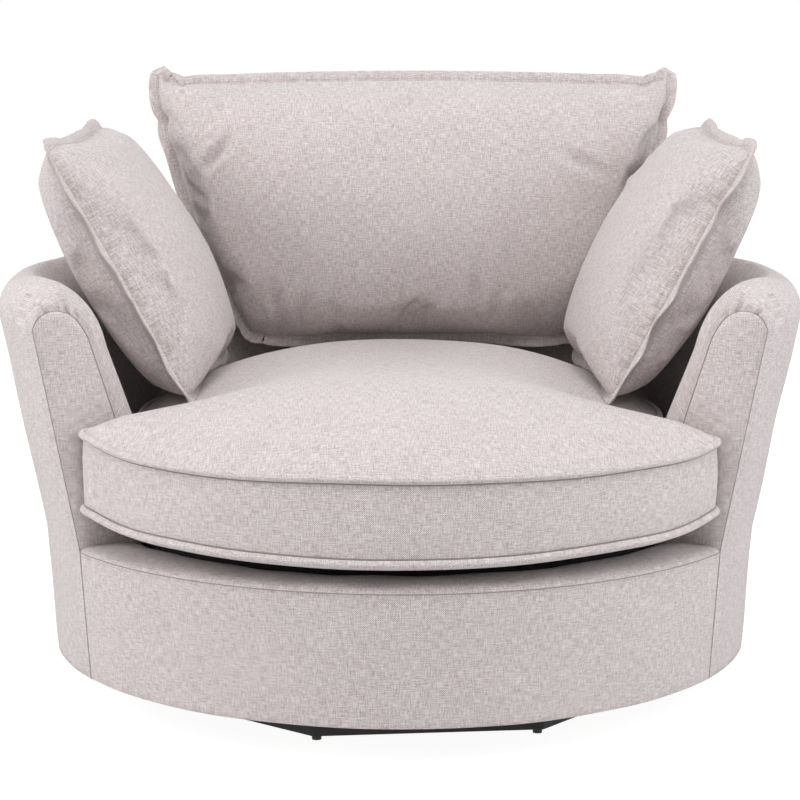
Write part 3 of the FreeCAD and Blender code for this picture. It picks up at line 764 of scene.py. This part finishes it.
def make_apron():
    heights = hem_heights(RAIL_SEAM_HEIGHT, 26)
    columns = 150
    points = np.zeros((len(heights), columns, 3))
    cloth = np.zeros((len(heights), columns, 2))
    for r, (height, inset) in enumerate(heights):
        reach = end_limit(outer_radius(height, ARM_END))
        for c in range(columns):
            phi = -reach + 2.0 * reach * (c / (columns - 1))
            points[r, c] = place(outer_radius(height, phi) - inset, height, phi)
            cloth[r, c] = (math.radians(phi) * BASE_RADIUS, height + inset)
    points = softened(points, APRON_SWELL, 31.0, edge_share(len(heights), columns, 5))
    dressed(grid_object("front_apron_cover", points, cloth), "chair", UPHOLSTERY, nodes=["front_apron"])
    edge = outer_radius(RAIL_SEAM_HEIGHT, 0.0)
    phis = np.linspace(-1.0, 1.0, 240) * end_limit(edge)
    path = [place(edge + SEAM_PROUD, RAIL_SEAM_HEIGHT, phi) for phi in phis]
    normals = [place(1.0, 0.25, phi) for phi in phis]
    sewn_line("rail_edge", path, normals, "chair", lines=(-TWIN, TWIN * 0.6))

    rise = RAIL_CROWN
    top = FOOT_HEIGHT
    profile = [
        (edge, RAIL_SEAM_HEIGHT),
        (edge - 0.001, top + rise * 0.25),
        (edge - 0.006, top + rise * 0.7),
        (edge - 0.02, top + rise),
        (edge - 0.05, top + rise * 1.1),
        (RAIL_INNER + 0.018, top + rise * 0.8),
        (RAIL_INNER + 0.006, top + rise * 0.3),
        (RAIL_INNER, top - 0.004),
        (RAIL_INNER, top - 0.012),
    ]
    profile, lengths = resampled(profile, 30)
    profile = smoothed(profile, 1)
    points = np.zeros((len(profile), columns, 3))
    cloth = np.zeros((len(profile), columns, 2))
    for r, (radius, height) in enumerate(profile):
        reach = end_limit(radius, FACING + 0.0004)
        for c in range(columns):
            phi = reach * (2.0 * c / (columns - 1) - 1.0)
            points[r, c] = place(radius, height, phi)
            cloth[r, c] = (math.radians(phi) * 0.47, lengths[r])
    points = softened(points, RAIL_SWELL, 37.0, edge_share(len(profile), columns, 5))
    pad = grid_object("rail_top_pad_cover", points, cloth)
    dressed(pad, "chair", UPHOLSTERY, nodes=["rail_top_pad"])


# Outlines with a wide round front and a smaller round rear


def lobed_outline(front, rear, side, corner, nook, count=320):
    """Points round the outline from the front centre, over +X, to the back and round to the front again."""
    def flat(radius, phi):
        return place(radius, 0.0, phi)[:2]

    corner_angle = end_limit(front - corner, side + corner)
    nook_angle = end_limit(rear + nook, side - nook)
    runs = []
    for radius, distance in ((front - corner, side + corner), (rear + nook, side - nook)):
        reach = math.hypot(math.sqrt(radius**2 - distance**2), side)
        runs.append(flat(reach, end_limit(reach, side)))

    def fillet(centre, start, end):
        middle = (start + end) / 2 - centre
        middle = centre + middle * (np.linalg.norm(start - centre) / np.linalg.norm(middle))
        return arc(start, middle, end, 12)

    front_run = [flat(front, phi) for phi in np.linspace(0.0, corner_angle, 60)]
    turn_in = fillet(flat(front - corner, corner_angle), front_run[-1], runs[0])
    rear_run = [flat(rear, phi) for phi in np.linspace(nook_angle, 180.0, 90)]
    turn_out = fillet(flat(rear + nook, nook_angle), runs[1], rear_run[0])
    half = np.concatenate((front_run, turn_in[1:], turn_out, rear_run[1:]))
    other = half[::-1][1:] * (-1.0, 1.0)
    even, _ = resampled(np.concatenate((half, other)), count + 1)
    return even


def ring_object(name, rings, cloth, flip=False):
    """A surface of closed rings, whose last ring is filled by a fan to its middle."""
    rings = [np.array(ring, float)[:-1] for ring in rings]
    cloth = [np.array(lay, float)[:-1] for lay in cloth]
    count = len(rings[0])
    faces = []
    for r in range(len(rings) - 1):
        for c in range(count):
            a = r * count + c
            b = r * count + (c + 1) % count
            faces.append((a, b, b + count, a + count))
    last = (len(rings) - 1) * count
    middle = last + count
    for c in range(count):
        faces.append((last + c, last + (c + 1) % count, middle))
    vertices = np.concatenate(rings + [rings[-1].mean(axis=0)[None]])
    lays = np.concatenate(cloth + [cloth[-1].mean(axis=0)[None]])
    if flip:
        faces = [face[::-1] for face in faces]
    return build_object(name, vertices, faces, lays)


SEAT_OUTLINE = lobed_outline(SEAT_FRONT, SEAT_REAR, SEAT_SIDE, SEAT_CORNER, SEAT_NOOK)


def corner_lift(point, lifts):
    """How far a seam is pulled up near the front corners of the seat cushion."""
    rise, reach = lifts[1.0 if point[0] > 0 else -1.0]
    corner = place(SEAT_FRONT - 0.01, 0.0, end_limit(SEAT_FRONT, SEAT_SIDE))[:2]
    away = math.hypot(abs(point[0]) - corner[0], point[1] - corner[1])
    return rise * math.exp(-((away / reach) ** 2))


def upper_seam(point):
    wave = 0.0026 * waves(point[0] * 5.5, point[1] * 5.5, 4.2)
    return UPPER_SEAM + corner_lift(point, CORNER_LIFTS) + wave


def lower_seam(point):
    wave = 0.0012 * waves(point[0] * 6.0, point[1] * 6.0, 9.1)
    front_side = min(1.0, abs(point[0]) / 0.3) * min(1.0, max(0.0, -point[1]) / 0.1)
    return LOWER_SEAM + corner_lift(point, LOWER_LIFTS) + LOWER_BOW * front_side**2 + wave


def seam_distances(points, outline):
    """A soft nearest distance to the outline; the short runs beside the arm ends count as nearer still."""
    ahead = units(np.roll(outline, -1, axis=0) - outline)
    inward = np.abs((ahead * outline).sum(axis=1)) / np.linalg.norm(outline, axis=1)
    weights = np.where((outline[:, 1] < 0) & (inward > 0.8), RUN_WEIGHT, 1.0)
    for _ in range(RUN_FADE):
        weights = (np.roll(weights, 1) + weights + np.roll(weights, -1)) / 3
    away = np.linalg.norm(points[:, None] - outline[None], axis=2)
    away = np.maximum(away, 1e-5) * weights[None]
    nearest = away.min(axis=1)
    blend = (((nearest[:, None] / away) ** 10).sum(axis=1)) ** (-0.02)
    return nearest * blend


def crown_heights(shares, rings, outline):
    """Rise of the crown at every point of the rings, from the seam to the middle."""
    heights = np.zeros((len(shares), len(outline)))
    for k, spots in enumerate(rings[1:], 1):
        depth = np.minimum(1.0, seam_distances(spots, outline) / CROWN_REACH)
        heights[k] = CROWN * np.sin(0.5 * math.pi * depth**CROWN_POWER)
    for _ in range(10):
        round_ring = (np.roll(heights, 1, axis=1) + np.roll(heights, -1, axis=1)) / 2
        heights[1:] = heights[1:] * 0.5 + round_ring[1:] * 0.5
        heights[3:-1] = heights[3:-1] * 0.6 + (heights[2:-2] + heights[4:]) * 0.2
    return heights


def seat_crown_rings():
    outline = SEAT_OUTLINE[:-1]
    shares = np.concatenate((np.linspace(1.0, 0.9, 14), np.linspace(0.88, 0.04, 34)))
    spots = []
    for share in shares:
        centre = np.array((0.0, CROWN_START + (CROWN_CENTRE - CROWN_START) * (1.0 - share) ** 2))
        spots.append(centre + (outline - centre) * share)
    rings = []
    for share, flats, heights in zip(shares, spots, crown_heights(shares, spots, outline)):
        ring = []
        for point, flat, rise in zip(outline, flats, heights):
            fade = max(0.0, (share - 0.6) / 0.4)
            seam = UPPER_SEAM + (upper_seam(point) - UPPER_SEAM) * fade
            soft = 0.0035 * (1.0 - share) * waves(flat[0] * 6.0, flat[1] * 6.0, 1.7)
            ring.append((flat[0], flat[1], seam + rise + soft))
        rings.append(np.array(ring + ring[:1]))
    return rings


SEAT_RINGS = seat_crown_rings()


def level_ring(outline, share, height):
    """The outline drawn in towards the middle, at one height or at one for each point."""
    shrunk = SEAT_CENTRE + (outline - SEAT_CENTRE) * share
    return np.column_stack((shrunk, np.zeros(len(outline)) + height))


def make_seat_cushion():
    lays = [ring[:, :2] * 1.04 for ring in SEAT_RINGS]
    top = ring_object("seat_top_panel", SEAT_RINGS, lays)
    dressed(top, "seat_cushion", UPHOLSTERY, nodes=["seat_cover_top", "seat_foam"])
    outline = SEAT_OUTLINE
    _, lengths = resampled(outline, len(outline))
    rows, lay_rows = [], []
    for share in np.linspace(0.0, 1.0, 15):
        row, lay = [], []
        for k, point in enumerate(outline):
            low, high = lower_seam(point), upper_seam(point)
            outward = point / np.linalg.norm(point)
            swell = 0.0035 * math.sin(math.pi * share)
            near_seam = math.exp(-((min(share, 1.0 - share) / 0.14) ** 2))
            pucker = 0.0009 * near_seam * waves(lengths[k] * 46.0, share * 2.0, 2.0)
            sag = 0.0022 * waves(lengths[k] * 8.0, share * 1.5, 5.0)
            flat = point + outward * (swell + pucker + sag * math.sin(math.pi * share))
            row.append((flat[0], flat[1], low + (high - low) * share))
            lay.append((lengths[k], share * (UPPER_SEAM - LOWER_SEAM)))
        rows.append(row)
        lay_rows.append(lay)
    border = grid_object("seat_border", np.array(rows), np.array(lay_rows))
    dressed(border, "seat_cushion", UPHOLSTERY, nodes=["seat_cover_border"])

    low_rings = []
    for inset, drop, lifted in CUSHION_EDGE:
        level = LOWER_SEAM - (LOWER_SEAM - SEAT_BOTTOM - 0.0003) * drop
        heights = [level + max(0.0, lower_seam(p) - LOWER_SEAM) * lifted for p in outline]
        low_rings.append(level_ring(outline, 1.0 - inset / 0.45, heights))
    low_rings += [level_ring(outline, share, SEAT_BOTTOM + 0.0003) for share in np.linspace(0.82, 0.05, 12)]
    bottom = ring_object("seat_bottom_panel", low_rings, [ring[:, :2] for ring in low_rings], flip=True)
    dressed(bottom, "seat_cushion", UPHOLSTERY, nodes=["seat_cover_bottom"])

    outward = units(outline)
    for name, level, below in (("upper", upper_seam, -1.0), ("lower", lower_seam, 1.0)):
        heights = np.array([level(point) for point in outline])
        path = np.column_stack((outline + outward * PIPING_PROUD, heights))[:-1]
        piping = tube_object("seat_piping_" + name + "_cord", path, PIPING)
        dressed(piping, "seat_cushion", PIPING_CLOTH, nodes=["seat_piping_" + name])
        path = np.column_stack((outline + outward * 0.0012, heights + below * (PIPING + 0.0012)))
        normals = np.column_stack((outward, np.zeros(len(outward))))
        # A strip of painted shade beside the piping, where the join would be shaded.
        sewn_line("seat_" + name + "_join", path, normals, "seat_cushion", lines=(), seam_shade_width=0.0009)


def seat_top_at(x, y):
    """Height of the seat's crown under a point, from its rings."""
    hit = SEAT_TREE.ray_cast(Vector((x, y, 1.5)), Vector((0.0, 0.0, -1.0)))
    return hit[0].z if hit[0] else None


def make_deck():
    outline = lobed_outline(DECK_FRONT, DECK_REAR, FACING + 0.0006, SEAT_CORNER * 0.5, 0.0008)
    low, high = FOOT_HEIGHT - 0.006, DECK_TOP - 0.0006
    edge = ((low, 0.0), (low + 0.012, -0.0002), (high - 0.004, 0.0), (high - 0.001, 0.0012), (high, 0.004))
    rings = [level_ring(outline, 1.0 - inset / 0.4, height) for height, inset in edge]
    rings += [level_ring(outline, share, high) for share in np.linspace(0.96, 0.06, 14)]
    deck = ring_object("deck_lining", rings, [ring[:, :2] for ring in rings])
    dressed(deck, "chair", BLACK_CLOTH, nodes=["deck_cloth", "deck_pad"])


def make_dust_cover():
    """Black cloth tacked under the drum, sagging a little between its edges."""
    columns, rows = 160, 16
    edge = BASE_RADIUS - PANEL - 0.001
    points = np.zeros((rows, columns + 1, 3))
    for r in range(rows):
        share = r / (rows - 1)
        radius = DUST_COVER_INNER + (edge - DUST_COVER_INNER) * share
        for c in range(columns + 1):
            phi = 360.0 * c / columns
            sag = 0.004 * math.sin(math.pi * share) * (0.6 + 0.4 * math.sin(math.radians(phi) * 7.0))
            points[r, c] = place(radius, SKIRT + 0.0012 - sag * 0.3, phi)
    cover = grid_object("under_cover", points, points[:, :, :2].copy(), flip=True)
    dressed(cover, "chair", BLACK_CLOTH, nodes=["bottom_dust_cover"])


# Flanged pillows


def pillow_outline(a, b, size, side_bow, end_bow, corner_round):
    """Where a point of the unit square lies on the cushion laid flat."""
    half_bottom, half_top, height = size
    half = half_bottom + (half_top - half_bottom) * (b + 1.0) / 2
    x = a * (half + side_bow * (1.0 - b * b))
    y = b * (height / 2 + end_bow * (1.0 - a * a))
    corner = 1.0 - corner_round * (abs(a) * abs(b)) ** 6
    return x * corner, y * corner


def crease_depth(x, y, creases):
    """Valleys with raised lips, each given by its middle, direction, half length, depth and width."""
    total = 0.0
    for cx, cy, angle, length, depth, width in creases:
        turn = math.radians(angle)
        along = (x - cx) * math.cos(turn) + (y - cy) * math.sin(turn)
        across = -(x - cx) * math.sin(turn) + (y - cy) * math.cos(turn)
        reach = math.exp(-((along / length) ** 2))
        lips = math.exp(-(((abs(across) - 1.9 * width) / width) ** 2))
        total += depth * reach * (math.exp(-((across / width) ** 2)) - 0.55 * lips)
    return total


def pucker_depth(point, size, seed):
    """Small gathers that run in from the seam of a cushion."""
    half = size[0] + (size[1] - size[0]) * (point[1] / size[2] + 0.5)
    from_side = max(0.0, half - abs(point[0]))
    from_end = max(0.0, size[2] / 2 - abs(point[1]))
    by_side = waves(point[1] * PUCKER_SCALE, math.copysign(2.0, point[0]), seed)
    by_end = waves(point[0] * PUCKER_SCALE, math.copysign(4.0, point[1]), seed)
    fade_side = math.exp(-((from_side / PUCKER_REACH) ** 1.5))
    fade_end = math.exp(-((from_end / PUCKER_REACH) ** 1.5))
    return PUCKER * (max(by_side, 0.0) * fade_side + max(by_end, 0.0) * fade_end)


def crowded(k, count):
    """Place of a grid line from -1 to 1, with the lines closer together towards the edges."""
    turn = 0.5 * math.pi * (2.0 * k / (count - 1) - 1.0) * CROWDING
    return math.sin(turn) / math.sin(0.5 * math.pi * CROWDING)


def pillow_mesh(name, size, depth, columns, rows, shape):
    """A closed pillow of two panels that share their edge, flat about its middle."""
    index = {}
    vertices, cloth, sheets = [], [], []
    for face in (1.0, -1.0):
        sheet = np.zeros((rows, columns), int)
        for r in range(rows):
            for c in range(columns):
                a, b = crowded(c, columns), crowded(r, rows)
                on_edge = r in (0, rows - 1) or c in (0, columns - 1)
                key = (r, c, 0.0 if on_edge else face)
                if key not in index:
                    x, y = pillow_outline(a, b, size, *shape)
                    full = math.sqrt(max(0.0, 1.0 - a * a) * max(0.0, 1.0 - b * b))
                    lift = 0.0 if on_edge else face * depth / 2 * full ** 0.92
                    index[key] = len(vertices)
                    vertices.append((x, y, lift))
                    cloth.append((x * 1.12 + (0.0 if face > 0 else 0.613), y * 1.12))
                sheet[r, c] = index[key]
        sheets.append(sheet)
    faces = []
    for sheet, flip in zip(sheets, (False, True)):
        for r in range(rows - 1):
            for c in range(columns - 1):
                face = (sheet[r, c], sheet[r, c + 1], sheet[r + 1, c + 1], sheet[r + 1, c])
                faces.append(tuple(int(k) for k in (face[::-1] if flip else face)))
    sheet = sheets[0]
    loop = list(sheet[0, :-1]) + list(sheet[:-1, -1]) + list(sheet[-1, :0:-1]) + list(sheet[:0:-1, 0])
    return build_object(name, vertices, faces, np.array(cloth)), [int(k) for k in loop]


def stuffed(obj, cap):
    """Lets cloth simulation fill a cushion, with every point held near where it began."""
    start = np.array([v.co for v in obj.data.vertices])
    modifier = obj.modifiers.new("stuffing", "CLOTH")
    for key, value in CLOTH_SETTINGS.items():
        setattr(modifier.settings, key, value)
    modifier.settings.effector_weights.gravity = 0.0
    modifier.collision_settings.use_collision = False
    modifier.point_cache.frame_start = 1
    modifier.point_cache.frame_end = CLOTH_FRAMES
    for step in range(1, CLOTH_FRAMES + 1):
        bpy.context.scene.frame_set(step)
    found = obj.evaluated_get(bpy.context.evaluated_depsgraph_get()).to_mesh()
    move = np.array([v.co for v in found.vertices]) - start
    obj.modifiers.clear()
    bpy.context.scene.frame_set(1)
    far = np.linalg.norm(move, axis=1, keepdims=True)
    return start + move * np.minimum(1.0, cap / np.maximum(far, 1e-9))


def clear_of_seat(point):
    low = seat_top_at(point[0], point[1])
    if low is not None and point[2] < low + CLEAR:
        return np.array((point[0], point[1], low + CLEAR))
    return point


def clear_of_wall(point):
    radius = math.hypot(point[0], point[1])
    phi = math.degrees(math.atan2(point[0], -point[1]))
    if radius < 0.3 or from_front(phi) < ARM_END - 2.0 or point[2] > rim_height(phi) + RIDGE_RISE:
        return point
    reach = WALL_TABLE(point[2], from_front(phi)) - 0.004
    if radius > reach:
        return np.array((point[0] * reach / radius, point[1] * reach / radius, point[2]))
    return point


def wall_table():
    """The inner wall's radius by height and angle, looked up from a table for speed."""
    phis = np.linspace(50.0, 180.0, 27)
    heights = np.linspace(0.24, 0.66, 85)
    table = np.zeros((len(phis), len(heights)))
    for k, phi in enumerate(phis):
        section, _ = wall_section(phi, 80)
        ridge = int(section[:, 1].argmax())
        inner = section[ridge:][::-1]
        table[k] = np.interp(heights, inner[:, 1], inner[:, 0])

    def look(height, phi):
        k = min(max((phi - phis[0]) / (phis[1] - phis[0]), 0.0), len(phis) - 1.001)
        h = min(max((height - heights[0]) / (heights[1] - heights[0]), 0.0), len(heights) - 1.001)
        i, j = int(k), int(h)
        low = table[i, j] + (table[i, j + 1] - table[i, j]) * (h - j)
        high = table[i + 1, j] + (table[i + 1, j + 1] - table[i + 1, j]) * (h - j)
        return low + (high - low) * (k - i)

    return look


WALL_TABLE = wall_table()


def make_flange(body, loop_points, normals, wave_seed, limits):
    """The flat double border round a cushion, with rows of stitches beside its seam."""
    count = len(loop_points)
    ahead = units(np.roll(loop_points, -1, axis=0) - np.roll(loop_points, 1, axis=0))
    outward = units(np.cross(ahead, normals))
    lengths = distances(loop_points)
    upper = ((-0.004, 0.5), (0.002, 0.5), (FLANGE * 0.5, 0.45), (FLANGE * 0.9, 0.5), (FLANGE, 0.25))
    profile = upper + tuple((reach, -side) for reach, side in upper[::-1])
    rows = []
    for reach, side in profile:
        ring = []
        for k in range(count + 1):
            i = k % count
            share = max(reach, 0.0) / FLANGE
            curl = 0.006 * share * waves(lengths[i] * 21.0, wave_seed, 0.0)
            point = loop_points[i] + outward[i] * reach + normals[i] * curl
            for limit in limits:
                point = limit(point)
            ring.append(point + normals[i] * side * FLANGE_THICKNESS)
        rows.append(ring)
    points = np.array(rows)
    span = np.concatenate((lengths, [lengths[-1] + 0.005]))
    across = np.array([reach + (0.05 if side < 0 else 0.0) for reach, side in profile])
    flange = grid_object(body + "_flange", points, laid(across, span))
    dressed(flange, body, UPHOLSTERY_PILLOW)
    for side, label in ((1.0, "front"), (-1.0, "rear")):
        line = loop_points + outward * 0.0045 + normals * side * (FLANGE_THICKNESS * 0.5 + 0.0004)
        closed = np.concatenate((line, line[:1]))
        out = np.concatenate((normals, normals[:1])) * side
        sewn_line(body + "_" + label, closed, out, body, seam_shade_width=0.0)


def make_pillow(body, size, depth, turn, centre, creases, seed, limits, nodes):
    columns, rows = (96, 64) if size[0] != size[1] else (66, 66)
    shrunk = tuple(value - 0.004 for value in size)
    shape = BACK_SHAPE if body == "back_cushion" else SCATTER_SHAPE
    obj, loop = pillow_mesh(body + "_cover", shrunk, depth * 0.96, columns, rows, shape)
    flat = np.array([v.co for v in obj.data.vertices])
    flat = stuffed(obj, STUFFING_CAP[body[:4]])
    moved = []
    for point in flat:
        face = 1.0 if point[2] >= 0 else -1.0
        edge = min(1.0, abs(point[2]) / 0.02)
        soft = 0.0045 * waves(point[0] * 7.0, point[1] * 7.0, seed + face)
        dent = crease_depth(point[0], point[1], creases if face > 0 else creases[:1]) * edge
        dent += pucker_depth(point, size, seed + face) * edge
        moved.append((point[0], point[1], point[2] + face * (soft * edge - dent)))
    world = np.array([turn @ np.array(point) + centre for point in moved])
    for limit in limits:
        world = np.array([limit(point) for point in world])
    obj.data.vertices.foreach_set("co", world.astype(np.float32).ravel())
    obj.data.update()
    dressed(obj, body, UPHOLSTERY_PILLOW, nodes=nodes)
    loop_points = world[loop]
    for _ in range(2):
        beside = np.roll(loop_points, 1, axis=0) + np.roll(loop_points, -1, axis=0)
        loop_points = loop_points * 0.6 + beside * 0.2
    normal = turn @ np.array((0.0, 0.0, 1.0))
    normals = np.tile(normal, (len(loop), 1))
    make_flange(body, loop_points, normals, seed, limits)
    return obj


def rotation(axis, degrees):
    return np.array(Matrix.Rotation(math.radians(degrees), 3, axis))


def middle_of(node):
    low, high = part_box(node)
    return np.array((low + high) / 2)


def make_pillows():
    upright = rotation("X", 90.0)
    lean = rotation("X", -BACK_LEAN) @ upright
    centre = middle_of("back_cushion_filling") + (0.0, 0.006, -0.015)
    creases = (
        (0.0, 0.1, 90.0, 0.05, 0.002, 0.02),
        (-0.3, 0.075, 52.0, 0.03, 0.012, 0.008),
        (0.26, 0.06, -28.0, 0.035, 0.008, 0.009),
        (-0.21, -0.16, 100.0, 0.03, 0.006, 0.008),
        (-0.17, -0.165, 70.0, 0.028, 0.006, 0.009),
        (-0.12, -0.17, 95.0, 0.022, 0.005, 0.008),
        (0.02, -0.165, 60.0, 0.022, 0.005, 0.009),
        (0.1, -0.14, 95.0, 0.035, 0.008, 0.01),
        (0.13, -0.155, 80.0, 0.026, 0.006, 0.008),
        (0.17, -0.165, 100.0, 0.02, 0.004, 0.007),
    )
    limits = (clear_of_seat, clear_of_wall)
    nodes = ["back_cushion_front_panel", "back_cushion_rear_panel", "back_cushion_filling"]
    back = make_pillow("back_cushion", BACK_SIZE, BACK_DEPTH, lean, centre, creases, 5.0, limits, nodes)
    tree = BVHTree.FromObject(back, bpy.context.evaluated_depsgraph_get())

    def clear_of_back(point):
        """Pushes a point out of the back cushion, towards the front."""
        hit = tree.ray_cast(Vector(point) + Vector((0.0, -0.6, 0.0)), Vector((0.0, 1.0, 0.0)))
        if hit[0] is not None and hit[0].y < point[1] + CLEAR and point[1] < centre[1] + 0.06:
            return np.array((point[0], hit[0].y - CLEAR, point[2]))
        return point

    scatter_creases = {
        "left": (
            (0.05, 0.0, 90.0, 0.04, 0.001, 0.02),
            (0.16, 0.02, 175.0, 0.035, 0.007, 0.006),
            (0.15, -0.03, 170.0, 0.03, 0.004, 0.006),
        ),
        "right": (
            (-0.05, 0.0, 90.0, 0.04, 0.001, 0.02),
            (-0.17, 0.06, 60.0, 0.04, 0.011, 0.008),
            (-0.15, 0.09, 20.0, 0.035, 0.007, 0.008),
        ),
    }
    for name, side in SIDES:
        spin = rotation("Z", -side * (90.0 - SCATTER_TURN))
        tilt = rotation("Y", side * SCATTER_TILT)
        turn = tilt @ spin @ upright
        body = "scatter_" + name
        centre_here = middle_of(body + "_filling") + np.array(SCATTER_SHIFT) * (-side, 1.0, 1.0)
        nodes = [body + "_front_panel", body + "_rear_panel", body + "_filling"]
        limits = (clear_of_seat, clear_of_wall, clear_of_back)
        creases = scatter_creases[name]
        make_pillow(body, SCATTER_SIZE, SCATTER_DEPTH, turn, centre_here, creases, 8.0 + side, limits, nodes)


# Camera, floor and light


def make_stage():
    camera_data = bpy.data.cameras.new("photo_camera")
    camera_data.sensor_width = SENSOR_WIDTH
    camera_data.lens = FOCAL_PIXELS / PICTURE_PIXELS * SENSOR_WIDTH
    camera = linked("photo_camera", camera_data)
    camera.location = (0.0, -CAMERA_DISTANCE, CAMERA_HEIGHT)
    camera.rotation_euler = (math.radians(90.0 - CAMERA_PITCH), 0.0, 0.0)
    bpy.context.scene.camera = camera

    bpy.ops.mesh.primitive_plane_add(size=60.0, location=(0.0, 0.0, 0.0))
    floor = bpy.context.object
    floor.name = "studio_floor"
    net = Net(bpy.data.materials.new("pale_floor"))
    kinds = ("Is Camera Ray", "Is Glossy Ray", "Is Transmission Ray")
    by_camera, by_gloss, by_glass = (net.node("ShaderNodeLightPath", output=kind) for kind in kinds)
    seen = by_camera.math("MAXIMUM", by_gloss).math("MAXIMUM", by_glass)
    matt = net.node("ShaderNodeBsdfDiffuse", {"Color": color(0.8, 0.8, 0.8)})
    glow = net.node("ShaderNodeEmission", {"Color": color(1.0, 1.0, 1.0), "Strength": 1.25})
    both = net.node("ShaderNodeMixShader", {0: seen * 0.75, 1: matt, 2: glow})
    net.node("ShaderNodeOutputMaterial", [both])
    floor.data.materials.append(net.owner)

    world = bpy.data.worlds.new("studio")
    bpy.context.scene.world = world
    net = Net(world)
    rays = net.node("ShaderNodeLightPath", output="Is Camera Ray")
    lit = net.node("ShaderNodeBackground", [color(0.93, 0.94, 1.0), 0.38])
    white = net.node("ShaderNodeBackground", [color(1.0, 1.0, 1.0), 1.0])
    both = net.node("ShaderNodeMixShader", [rays, lit, white])
    net.node("ShaderNodeOutputWorld", [both])

    for name, place_at, aim, size, power, tint in (
        ("top_softbox", (0.0, -1.5, 3.1), (0.0, 0.0, 0.5), 2.8, 74.0, (1.0, 0.99, 0.99)),
        ("front_fill", (0.0, -3.6, 1.2), (0.0, 0.0, 0.55), 2.0, 5.0, (1.0, 0.99, 0.98)),
        ("rear_fill", (0.0, 3.4, 2.2), (0.0, 0.0, 0.4), 2.4, 26.0, (1.0, 1.0, 1.0)),
        ("left_softbox", (-3.5, -0.7, 1.7), (0.0, 0.0, 0.45), 2.2, 74.0, (1.0, 0.985, 0.98)),
        ("right_softbox", (3.5, -0.7, 1.7), (0.0, 0.0, 0.45), 2.2, 64.0, (0.99, 0.99, 1.0)),
    ):
        data = bpy.data.lights.new(name, "AREA")
        data.shape = "SQUARE"
        data.size = size
        data.energy = power
        data.color = tint
        lamp = linked(name, data)
        lamp.location = place_at
        lamp.rotation_euler = (Vector(aim) - Vector(place_at)).to_track_quat("-Z", "Y").to_euler()
    bpy.context.scene.view_settings.view_transform = "Standard"


make_stage()
for subpart in frame["record"]["subparts"]:
    node = frame["nodes"][subpart["node"]]
    node.data.materials.clear()
    node.data.materials.append(SLOT_FINISH[subpart["material_slot"]])
make_outer_panels()
make_inner_pads()
make_apron()
make_deck()
make_dust_cover()
make_seat_cushion()
SEAT_TREE = BVHTree.FromObject(bpy.data.objects["seat_top_panel"], bpy.context.evaluated_depsgraph_get())
make_pillows()
